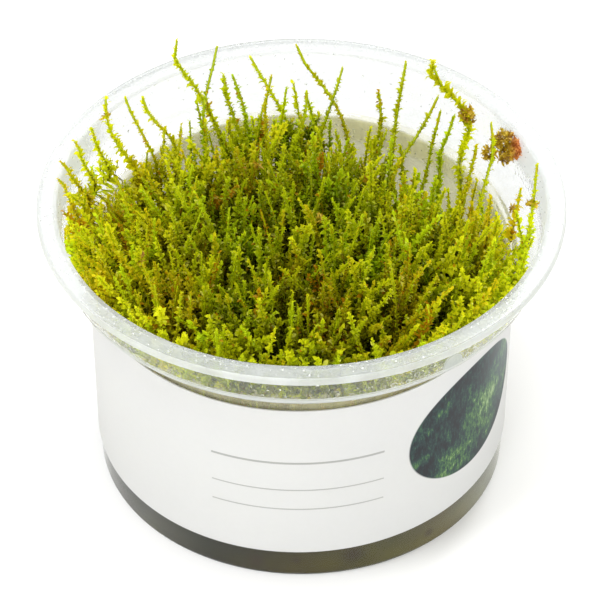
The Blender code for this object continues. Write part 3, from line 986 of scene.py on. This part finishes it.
matSettings = {
    "kinds": table(
        "count length bend leafLength leafSpacing leavesFrom opening tipSize stemRadius sideEvery sideReach",
        {
            "low": (6, 15.0, 1.2, 1.35, 0.36, 0.45, 0.6, 0.75, 0.12, 3, (3.0, 4.5)),
            "full": (9, 26.0, 2.6, 1.4, 0.28, 0.25, 0.75, 0.75, 0.18, 3, (4.0, 8.0)),
            "slender": (8, 30.0, 3.2, 1.2, 0.25, 0.25, 0.8, 0.85, 0.2, 4, (5.0, 9.0)),
        },
    ),
    # Tips stand from lowest to highest over the canopy, where that is from least to most high
    # Lower layers take darker tone ranges: painted shade in the gaps between the taller shoots
    "layers": table(
        "kind spacing lowest highest skew swell lean drift edgeLean tintLow tintHigh least most",
        {
            "low": ("low", 2.1, -15.0, -6.0, 0.9, 8.0, 0.35, 0.7, 0.4, 0.0, 0.5, 0.0, 99.0),
            "full": ("full", 3.4, -6.5, 2.0, 1.0, 10.0, 0.24, 0.8, 0.42, 0.1, 1.0, 44.0, 99.0),
            "slender": ("slender", 3.7, -1.0, 6.0, 1.2, 5.0, 0.28, 0.7, 0.42, 0.35, 1.0, 47.0, 99.0),
            "long": ("slender", 5.4, 3.0, 9.5, 1.1, 3.0, 0.3, 0.6, 0.36, 0.5, 1.0, 52.0, 99.0),
            "leftEdge": ("slender", 3.4, 0.0, 5.5, 0.9, 2.0, 0.22, 0.4, 0.42, 0.45, 1.0, 57.2, 99.0),
            "hollow": ("slender", 3.5, 1.0, 15.0, 0.9, 2.0, 0.16, 0.2, 0.2, 0.2, 0.95, 0.0, 47.0),
        },
    ),
    "gelTop": 12.2,
    "wallGap": 0.25,
    "wallFoot": 38.4,
    "wallTop": (48.9, 39.45),
    "wallSteps": [(50.2, 51.4, 5.6), (51.6, 60.3, 0.85), (60.6, 61.4, 8.0)],
    "height": 56.5,
    "backSlope": 0.2,
    "slopeFrom": 12,
    # x, y, radius and rise of each swell or hollow in the canopy
    "swells": [(31.5, 24, 8.2, -26), (26, 15, 6, -8), (37.5, 7, 4.5, -4.5), (45, -5, 8, -3.4),
               (-43, -9, 11, 1.6), (-41, 14, 8, -9), (13, 38, 10, -12), (6, 32, 7, -4), (-24, 30, 8, -11)],
    "bodyReach": 38.3,
    "wallReach": 38.8,
    "ledgeReach": 44.6,
    "ledgeFrom": 53.6,
    "cell": 1.5,
    "cells": 31,
    "middleReach": 20,
    "regions": ["left", "right", "front", "back", "middle"],
    "seed": 21,
}


def canopyHeight(x, y):
    # The same form as the solid mat's, in millimetres
    s = matSettings
    height = s["height"] - s["backSlope"] * max(0.0, y - s["slopeFrom"])
    for centreX, centreY, size, rise in s["swells"]:
        height += rise * math.exp(-((x - centreX) ** 2 + (y - centreY) ** 2) / (2 * size * size))
    return height


def matReach(angle):
    # Over the ledge where the moss stands high enough, and inside the body elsewhere
    s = matSettings
    height = canopyHeight(s["wallReach"] * math.cos(angle), s["wallReach"] * math.sin(angle))
    return s["ledgeReach"] if height > s["ledgeFrom"] else s["bodyReach"]


def regionOf(x, y):
    if math.hypot(x, y) < matSettings["middleReach"]:
        return "middle"
    if abs(x) > abs(y):
        return "left" if x < 0 else "right"
    return "front" if y < 0 else "back"


def regionSheet(region, least, most):
    # The part of the canopy over one region, where its height lies in a range
    cell, cells = matSettings["cell"], matSettings["cells"]
    bm = bmesh.new()
    corners = {}

    def corner(column, row):
        if (column, row) not in corners:
            x, y = column * cell, row * cell
            corners[column, row] = bm.verts.new((x * mm, y * mm, canopyHeight(x, y) * mm))
        return corners[column, row]

    for column in range(-cells, cells):
        for row in range(-cells, cells):
            x, y = (column + 0.5) * cell, (row + 0.5) * cell
            inside = math.hypot(x, y) < matReach(math.atan2(y, x)) and least < canopyHeight(x, y) < most
            if regionOf(x, y) == region and inside:
                around = [(column, row), (column + 1, row), (column + 1, row + 1), (column, row + 1)]
                bm.faces.new([corner(*place) for place in around])
    return addObject("sheet_" + region, meshFrom("sheet_" + region, bm))


def shootKinds(name, tree, leaf):
    # A few bent shoots with their tips at the origin, some with a side shoot
    s = matSettings["kinds"][name]
    rng = random.Random(matSettings["seed"] + len(name))
    kinds = bpy.data.collections.new("kinds_" + name)
    scene.collection.children.link(kinds)
    for number in range(s["count"]):
        turn, bend = rng.uniform(0, 6.28), rng.uniform(0.3, 1.0) * s["bend"]
        wave = rng.uniform(0.5, 1.4)
        main = []
        for t in np.linspace(0, 1, 17):
            aside = bend * (math.sin(3.1 * wave * (1 - t)) + 0.6 * (1 - t) ** 2)
            main.append((aside * math.cos(turn + t), aside * math.sin(turn + t), -s["length"] * (1 - t)))
        lines = [main]
        if number % s["sideEvery"] == 1:
            root, reach = Vector(main[9 + number % 4]), rng.uniform(*s["sideReach"])
            side = Vector((math.cos(turn + 2), math.sin(turn + 2), 0))
            branch = []
            for t in np.linspace(0, 1, 7):
                branch.append(root + side * reach * (0.5 * t - 0.14 * t * t) + Vector((0, 0, reach * t)))
            lines.append(branch)
        made = grow(f"kind_{name}_{number}", lineObject(f"line_{name}_{number}", lines), tree, {
            **s, "leaf": leaf, "leafLength": s["leafLength"] * rng.uniform(0.8, 1.2), "taper": 0.95,
            "shadeStart": 0.0, "seed": 100 + 10 * number,
        })
        scene.collection.objects.unlink(made)
        kinds.objects.link(made)
    return kinds


def keptInside(geometry, gap):
    # Leaves that meet the stepped wall lie flat along it, and roots end on the gel
    s = matSettings
    x, y, height = axesOf(position())
    topHeight, topReach = s["wallTop"]
    limit = spreadMm(height, 0.0, topHeight, (s["wallFoot"] - gap) * mm, (topReach - gap) * mm, False)
    for low, high, step in s["wallSteps"]:
        limit = limit + spreadMm(height, low, high, 0.0, step * mm, False)
    share = maths("MINIMUM", limit / larger(reachOf(x, y), mm), 1.0)
    place = combine(x * share, y * share, larger(height, s["gelTop"] * mm))
    return addNode("GeometryNodeSetPosition", {"Geometry": geometry, "Position": place})


def canopyTree():
    # Shoots of random kinds with their tips round the sheet's height, leaning out towards the wall
    tree, given = newTree("mossCanopy", {
        "Collection": "shoots", "Length": "spacing lowest highest swell",
        "Float": "skew lean drift edgeLean tintLow tintHigh", "Int": "kinds seed",
    })
    seed = given["seed"]
    scatter = addNode("GeometryNodeDistributePointsOnFaces", {
        "Mesh": given["Geometry"], "Distance Min": given["spacing"], "Density Max": 3000000.0, "Seed": seed,
    }, "Points", distribute_method="POISSON")
    place = position()
    x, y, height = axesOf(place)
    scatter = keepAttribute(scatter, "level", height)
    chance = maths("POWER", randomValue(0.0, 1.0, seed), given["skew"])
    offset = spread(chance, 0.0, 1.0, given["lowest"], given["highest"], False)
    offset = offset + (noise(place, 95.0, 2.0) - 0.5) * (given["swell"] * 2.0)
    raised = addNode("GeometryNodeSetPosition", {"Geometry": scatter, "Offset": combine(z=offset)})
    flat = combine(x, y)
    push = spreadMm(vectorMaths("LENGTH", flat), 14, 45) * given["edgeLean"]
    side = vectorMaths("SCALE", vectorMaths("NORMALIZE", flat), scale=push)
    drift = addNode("ShaderNodeTexNoise", {"Vector": place, "Scale": 110.0, "Detail": 1.0}, "Color")
    drift = vectorMaths("SCALE", vectorMaths("SUBTRACT", drift, (0.5, 0.5, 0.5)), scale=given["drift"] * 2.0)
    side = vectorMaths("ADD", side, vectorMaths("MULTIPLY", drift, (1.0, 1.0, 0.0)))
    leanX, leanY = (randomValue(given["lean"] * -1.0, given["lean"], seed + extra) for extra in (1, 2))
    direction = vectorMaths("ADD", side, combine(leanX, leanY, 1.0))
    rotation = turnLocal(upright(direction), combine(z=randomValue(0.0, 6.283, seed + 3)))
    kinds = addNode("GeometryNodeCollectionInfo", {
        "Collection": given["shoots"], "Separate Children": True, "Reset Children": True,
    })
    numbers = {4: 0, 5: given["kinds"] - 1, "Seed": seed + 4}
    picked = addNode("FunctionNodeRandomValue", numbers, 2, data_type="INT")
    size = randomValue(0.85, 1.15, seed + 5)
    placed = placedOn(raised, kinds, rotation, size, {"Pick Instance": True, "Instance Index": picked})
    tint = randomValue(given["tintLow"], given["tintHigh"], seed + 6)
    whole = realized(keepAttribute(placed, "shootTint", tint, "INSTANCE"))
    whole = keptInside(whole, matSettings["wallGap"])
    finishTree(keepAttribute(whole, "rise", height - namedAttribute("level")))
    return tree


def makeMat(tree, kinds):
    s = matSettings
    for layer, values in s["layers"].items():
        for number, region in enumerate(s["regions"]):
            sheet = regionSheet(region, values["least"], values["most"])
            if len(sheet.data.polygons) > 3:
                growLayer(tree, kinds[values["kind"]], f"moss_{layer}_{region}", sheet, values, 40 * number)
            else:
                discard(sheet)


def growLayer(tree, kinds, name, sheet, values, seed):
    seed += matSettings["seed"] + len(name)
    values = {**values, "shoots": kinds, "kinds": len(kinds.objects), "seed": seed}
    made = grow(name, sheet, tree, values)
    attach(made, "root")
    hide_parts("moss_mat")
    print("  ", name, len(made.data.polygons), "faces")


# Moss pressed against the body's wall, which shows through the clear band over the label

wallMossSettings = {
    # arc is the angles that a band runs between, and its steps
    "bands": table("profile arc spacing tintLow tintHigh", {
        "moss_at_wall": ([(35.8, 50.5), (38.1, 50.5)], (140, 372, 96), 1.25, 0.3, 1.0),
        "moss_at_wall_back": ([(35.8, 50.5), (38.1, 50.5)], (84, 112, 96), 1.25, 0.3, 1.0),
        "moss_on_ledge": ([(40.9, 56.8), (44.5, 56.8)], (212, 345, 96), 1.5, 0.1, 0.6),
        "moss_low_on_ledge": ([(40.9, 53.6), (45.0, 53.6)], (225, 325, 96), 1.35, 0.1, 0.6),
        "moss_low_on_ledge_left": ([(40.6, 53.8), (44.3, 53.8)], (152, 184, 96), 1.6, 0.3, 1.0),
        "moss_on_ledge_left": ([(40.6, 55.5), (44.3, 55.5)], (182, 212, 96), 1.35, 0.3, 1.0),
    }),
    "lowest": -3.0, "highest": 1.5, "skew": 1.0, "swell": 0.0, "lean": 0.12, "drift": 0.0, "edgeLean": 0.0,
    # Shoots flat on the wall at the front: angle, heights and slant in degrees
    "pressed": [
        (-82.5, 39.0, 50.5, 3), (-97.5, 38.0, 49.0, -2), (-79.0, 40.0, 47.5, -1), (-118.0, 38.0, 48.5, 2),
        (-55.0, 38.0, 48.0, -3),
    ],
    "pressedReach": 38.95,
    "pressedTint": 0.62,
    "pressedShoot": {
        "leafLength": 1.25, "leafSpacing": 0.25, "leavesFrom": 0.0, "opening": 0.8, "taper": 1.0,
        "tipSize": 0.6, "stemRadius": 0.25, "shadeStart": 0.8, "seed": 77,
    },
}


def makeWallMoss(tree, kinds, shootTree, leaf):
    s = wallMossSettings
    for name, values in s["bands"].items():
        band = addObject("band", bandMesh(values["profile"], *values["arc"]))
        growLayer(tree, kinds, name, band, {**s, **values}, 400)
    reach, lines = s["pressedReach"], []
    for angle, low, high, slant in s["pressed"]:
        line = []
        for t in np.linspace(0, 1, 9):
            turn = math.radians(angle + slant * t * t)
            line.append((reach * math.cos(turn), reach * math.sin(turn), low + (high - low) * t))
        lines.append(line)
    pressed = lineObject("line_pressed", lines)
    made = grow("moss_pressed", pressed, shootTree, {**s["pressedShoot"], "leaf": leaf})
    mark(made.data, "shootTint", [s["pressedTint"]] * len(made.data.vertices))
    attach(made, "root")
    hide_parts("moss_mat")


# Dark bed of stems under the shoots, their own dark brown and near black as painted shade deep in the mat

bedSettings = {
    "rings": 26,
    "steps": 96,
    "depth": 14.0,
    "roughness": 1.8,
    "radius": 36.0,
    "heights": (13.5, 45.0),
    "bottom": 12.35,
    "skirt": [(1.006, 30.0), (1.0, 12.35)],
    "seed": 5,
    "oldInShade": [(0.3, (0.008, 0.010, 0.0005)), (0.5, (0.04, 0.045, 0.001)), (0.7, (0.12, 0.11, 0.002))],
    "dull": (0.10, 0.11, 0.003),
    "fresh": (0.42, 0.42, 0.03),
}


def bedMaterial():
    s = bedSettings
    material, where = newMaterial("mossBed")
    x, y = axesOf(where)[:2]
    # Near-black stems: partly their own colour, partly painted shade
    oldInShade = ramp(noise(where, 420.0, 5.0, 0.7), s["oldInShade"])
    fresh = mixColour(noise(where, 260.0, 4.0), s["dull"], s["fresh"])
    return finishMaterial(material, principled({
        "Base Color": mixColour(spreadMm(reachOf(x, y), 34, 35.5), oldInShade, fresh), "Roughness": 0.8,
        "Specular IOR Level": 0.1, "Normal": bumped(noise(where, 700.0, 4.0, 0.7), 0.9, 1.0),
    }))


def makeBed():
    s = bedSettings
    rng = random.Random(s["seed"])
    bm = bmesh.new()
    least, most = s["heights"]
    rings = [[bm.verts.new((0, 0, (canopyHeight(0, 0) - s["depth"]) * mm))]]
    for ring in range(1, s["rings"] + 1):
        row = []
        for step in range(s["steps"]):
            angle = fullTurn * step / s["steps"]
            reach = s["radius"] * ring / s["rings"]
            x, y = reach * math.cos(angle), reach * math.sin(angle)
            height = min(canopyHeight(x, y) - s["depth"] + rng.uniform(-1, 1) * s["roughness"], most)
            row.append(bm.verts.new((x * mm, y * mm, max(height, least) * mm)))
        rings.append(row)
    for reach, height in s["skirt"]:
        row = []
        for x, y, z in [vertex.co for vertex in rings[-1]]:
            row.append(bm.verts.new((x * reach, y * reach, min(z - 0.2 * mm, height * mm))))
        rings.append(row)
    rings.append([bm.verts.new((0, 0, s["bottom"] * mm))])
    for upper, lower in zip(rings, rings[1:]):
        bridge(bm, upper, lower, s["steps"])
    bmesh.ops.recalc_face_normals(bm, faces=bm.faces)
    mesh = meshFrom("moss_bed", bm)
    mesh.shade_smooth()
    bed = addObject("moss_bed", mesh, bedMaterial())
    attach(bed, "root")
    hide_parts("moss_mat")


# Tall single shoots, each along the middle line of its solid

tallSettings = {
    "levels": 14,
    "leafLength": 1.7,
    "leafSpacing": 0.16,
    "leavesFrom": 0.0,
    "opening": 0.72,
    "taper": 0.6,
    "tipSize": 0.75,
    "stemRadius": 0.29,
    "shadeStart": 0.5,
    "rootDepth": 14.0,
    "rootStep": 2.0,
    "gelTop": 14.5,
    "ledgeTop": 51.2,
    "tapers": {"hooked_shoot": 1.9},
    # Share of the height, and how far the line moves sideways and up there
    "bends": {"hooked_shoot": [(0.0, 0.0, 0.0), (0.45, 2.0, 0.0), (0.72, 0.1, 0.0), (1.0, -0.8, -3.2)]},
    "thick": {
        "hooked_shoot": 0.72, "shoot_back_1": 1.3, "shoot_back_2": 0.85, "shoot_left_5": 1.15,
        "shoot_right_7": 0.9,
    },
    "shapeSeed": 8,
}


def middleLine(node, levels):
    mesh = frame["nodes"][node].data
    points = np.array([vertex.co for vertex in mesh.vertices], float)
    edges = np.array([edge.vertices for edge in mesh.edges])
    first, second = points[edges[:, 0]], points[edges[:, 1]]
    low, high = points[:, 2].min(), points[:, 2].max()
    line = []
    for height in np.linspace(low + 0.2 * mm, high - 0.1 * mm, levels):
        crossing = (first[:, 2] - height) * (second[:, 2] - height) < 0
        a, b = first[crossing], second[crossing]
        share = (height - a[:, 2]) / (b[:, 2] - a[:, 2])
        line.append(Vector((a + share[:, None] * (b - a)).mean(0)) / mm)
    return line


def bent(line, bends):
    shares, across, up = zip(*bends)
    made = []
    for step, point in enumerate(line):
        t = step / (len(line) - 1)
        made.append(point + Vector((np.interp(t, shares, across), 0, np.interp(t, shares, up))))
    return made


def rooted(line):
    # Carries a shoot's line on down into the mat, or to the ledge where it stands over that
    s = tallSettings
    foot = line[0]
    overLedge = foot.xy.length > matSettings["bodyReach"]
    floor = s["ledgeTop"] if overLedge else max(s["gelTop"], canopyHeight(foot.x, foot.y) - s["rootDepth"])
    below = []
    steps = max(0, round((foot.z - floor) / s["rootStep"]))
    for step in range(steps, 0, -1):
        t = step / steps
        inwards = 1.0 if overLedge else 1 - 0.08 * t
        below.append(Vector((foot.x * inwards, foot.y * inwards, foot.z + (floor - foot.z) * t)))
    return below + line


def makeTallShoots(tree, leaf):
    s = tallSettings
    nodes = sorted(name for name in frame["nodes"] if "shoot" in name)
    rng = random.Random(s["shapeSeed"])
    for number, node in enumerate(nodes):
        line = bent(middleLine(node, s["levels"]), s["bends"].get(node, [(0.0, 0.0, 0.0)]))
        length = s["leafLength"] * rng.uniform(0.85, 1.15) * s["thick"].get(node, 1.0)
        made = grow("leafy_" + node, lineObject("line_" + node, [rooted(line)]), tree, {
            **s, "leaf": leaf, "leafLength": length, "taper": s["tapers"].get(node, s["taper"]),
            "seed": 500 + 11 * number,
        })
        mark(made.data, "shootTint", [rng.uniform(0.55, 1.0)] * len(made.data.vertices))
        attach(made, "root")
        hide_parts(node)
    print("tall shoots", len(nodes))


# Withered moss

drySettings = {
    "leafLength": 1.25,
    "leafWidth": 0.5,
    "leavesPerSquareMetre": 10000000.0,
    "wallGap": 0.1,
    "shapeSeed": 3,
    "levels": 40,
    "colours": [
        (0.32, (0.20, 0.09, 0.004)), (0.42, (0.42, 0.24, 0.01)), (0.55, (0.62, 0.46, 0.012)),
        (0.66, (0.88, 0.66, 0.12)),
    ],
    "redder": (0.75, 0.22, 0.09),
    # Offset from the middle of the tuft, and half widths
    "tuft": [
        ((0.3, 0.2, 0.9), (3.0, 2.6, 2.2)), ((-2.9, -0.8, -1.2), (1.4, 1.4, 1.2)),
        ((2.2, -1.8, 0.6), (1.9, 1.9, 2.0)), ((0.2, -1.4, -1.9), (1.7, 1.4, 1.2)),
    ],
    # Share of the shoot's height, offset and half width
    "onShoots": [
        ("shoot_left_5", 0.82, (0, 0, 0), 0.6), ("hooked_shoot", 0.70, (0.4, 0, 0), 1.9),
        ("shoot_right_8", 0.69, (-0.8, 0, 0), 0.7), ("shoot_right_9", 0.6, (0, 0, 0), 0.8),
        ("shoot_back_1", 0.44, (0, 0, 0), 0.5), ("shoot_right_1", 0.9, (0, 0, 0), 0.4),
    ],
    # x, y, height over the canopy and half width
    "onMat": [
        (12.5, 12.0, 1.0, 0.9), (22.8, 9.5, 0.5, 0.9), (-8.5, 14.0, 2.0, 0.6), (3.5, -2.0, 1.5, 0.6),
        (-30.0, -14.0, 1.0, 0.7),
    ],
}


def dryMaterial():
    # Dead leaves: dark red-brown and olive, paler and redder at the outer side of the tuft
    s = drySettings
    material, where = newMaterial("dryMoss")
    x, y = axesOf(where)[:2]
    outer = spreadMm(x, 39.6, 41.6) * spreadMm(y, 12, 16)
    colour = mixColour(outer * 0.7, ramp(noise(where, 700.0, 4.0), s["colours"]), s["redder"])
    return finishMaterial(material, thin(0.4, colour, {"Base Color": colour, "Roughness": 0.5}))


def tuftTree(material):
    s = drySettings
    tree, given = newTree("witheredTuft", {
        "Object": "leaf", "Length": "leafLength", "Float": "leavesPerSquareMetre", "Int": "seed",
    })
    seed = given["seed"]
    scatter = addNode("GeometryNodeDistributePointsOnFaces", {
        "Mesh": given["Geometry"], "Density": given["leavesPerSquareMetre"], "Seed": seed,
    }, None)
    anyTurn = {0: (-1.4, -1.4, 0.0), 1: (1.4, 1.4, 6.28), "Seed": seed}
    turn = addNode("FunctionNodeRandomValue", anyTurn, data_type="FLOAT_VECTOR")
    size = randomValue(0.5, 1.3, seed) * given["leafLength"]
    placed = placedOn(
        scatter["Points"], objectIn(given["leaf"]), turnLocal(scatter["Rotation"], turn),
        combine(size * s["leafWidth"], size, size),
    )
    finishTree(withMaterial(keptInside(realized(placed), s["wallGap"]), material))
    return tree


def blobMesh(blobs, rng):
    # Lumpy cores that the dead leaves grow from: centre and the three half widths of each
    bm = bmesh.new()
    for centre, widths in blobs:
        for vertex in bmesh.ops.create_icosphere(bm, subdivisions=2, radius=1.0)["verts"]:
            size = rng.uniform(0.4, 0.9)
            vertex.co = Vector([c * mm + size * w * mm * v for c, w, v in zip(centre, widths, vertex.co)])
    return meshFrom("core", bm)


def makeTuft(leaf):
    # The tuft at the back right, and the small dead ends and crumbs on shoots and mat
    s = drySettings
    rng = random.Random(s["shapeSeed"])
    tree = tuftTree(dryMaterial())
    middle = (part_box("dry_tuft")[0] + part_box("dry_tuft")[1]) / 2 / mm
    blobs = [(middle + Vector(offset), widths) for offset, widths in s["tuft"]]
    core = addObject("core", blobMesh(blobs, rng))
    tuft = grow("withered_tuft", core, tree, {**s, "leaf": leaf, "seed": 4})
    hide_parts("dry_tuft")
    blobs = []
    for node, share, offset, width in s["onShoots"]:
        place = middleLine(node, s["levels"])[int(share * (s["levels"] - 1))]
        blobs.append((place + Vector(offset), (width, width, 0.9 * width)))
    for x, y, height, width in s["onMat"]:
        blobs.append(((x, y, canopyHeight(x, y) + height), (width, width, 0.7 * width)))
    core = addObject("core", blobMesh(blobs, rng))
    crumbs = grow("withered_ends", core, tree, {**s, "leaf": leaf, "seed": 9})
    for piece in (tuft, crumbs):
        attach(piece, "root")
    print("withered", len(tuft.data.polygons), len(crumbs.data.polygons), "faces")


# Stage, lights and camera

stageSettings = {
    "floor": (0.95, 0.95, 0.95),
    "floorSize": 3,
    "floorDepth": -0.00005,
    "sky": 1.0,
    "elevation": 41.31,
    "lookAt": 35.81,
    "distance": 900.0,
    "lens": 281.3,
    "shiftX": -0.0025,
    # Place, aim, size and power
    "lights": {
        "key": ((-0.18, -0.2, 0.85), (0, 0, 0.04), 0.16, 3.0),
        "front": ((-0.2, -0.8, 0.35), (0, 0, 0.04), 0.4, 2.0),
        "back": ((0.25, 0.5, 0.65), (0, 0, 0.05), 0.25, 2.2),
    },
    "bounces": {
        "max_bounces": 14, "diffuse_bounces": 5, "glossy_bounces": 5, "transmission_bounces": 12,
        "transparent_max_bounces": 16, "caustics_reflective": False, "caustics_refractive": False,
    },
}


def makeStage():
    s = stageSettings
    material, where = newMaterial("paleFloor")
    colour = mixColour(noise(where, 8.0), s["floor"], darker(s["floor"], 0.985))
    finishMaterial(material, principled({"Base Color": colour, "Roughness": 0.8}))
    size, z = s["floorSize"], s["floorDepth"]
    corners = [(-size, -size, z), (size, -size, z), (size, size, z), (-size, size, z)]
    addObject("floor", meshOf("floor", corners, [(0, 1, 2, 3)]), material)
    world = bpy.data.worlds.new("softbox")
    world.use_nodes = True
    background = world.node_tree.nodes["Background"]
    background.inputs["Color"].default_value = (1.0, 1.0, 1.0, 1.0)
    background.inputs["Strength"].default_value = s["sky"]
    scene.world = world


def makeLights():
    for name, (place, aim, size, power) in stageSettings["lights"].items():
        light = bpy.data.lights.new(name, "AREA")
        light.shape = "DISK"
        light.size = size
        light.energy = power
        made = bpy.data.objects.new(name, light)
        made.location = place
        made.rotation_euler = (Vector(aim) - Vector(place)).to_track_quat("-Z", "Y").to_euler()
        scene.collection.objects.link(made)


def makeCamera():
    s = stageSettings
    lens = bpy.data.cameras.new("camera")
    lens.lens = s["lens"]
    lens.sensor_width = 36.0
    lens.shift_x = s["shiftX"]
    lens.clip_start = 0.01
    lens.clip_end = 20.0
    camera = bpy.data.objects.new("camera", lens)
    angle = math.radians(s["elevation"])
    height = (s["lookAt"] + s["distance"] * math.sin(angle)) * mm
    camera.location = (0, -s["distance"] * mm * math.cos(angle), height)
    camera.rotation_euler = (math.pi / 2 - angle, 0, 0)
    scene.collection.objects.link(camera)
    scene.camera = camera


def setLook():
    scene.view_settings.view_transform = "Standard"
    scene.view_settings.look = "None"
    for name, value in stageSettings["bounces"].items():
        setattr(scene.cycles, name, value)


makeCup()
makeWater()
makeLabel()
makeGel()
print("cup, water, label and gel")
leafObject = addObject("leaf_shape", leafMesh())
shootTree = leafyShootTree(mossLeafMaterial(), mossStemMaterial())
mossKinds = {name: shootKinds(name, shootTree, leafObject) for name in matSettings["kinds"]}
mossTree = canopyTree()
makeMat(mossTree, mossKinds)
makeWallMoss(mossTree, mossKinds["low"], shootTree, leafObject)
makeBed()
makeTallShoots(shootTree, leafObject)
makeTuft(leafObject)
discard(leafObject, *(kind for kinds in mossKinds.values() for kind in kinds.objects))
makeStage()
makeLights()
makeCamera()
setLook()
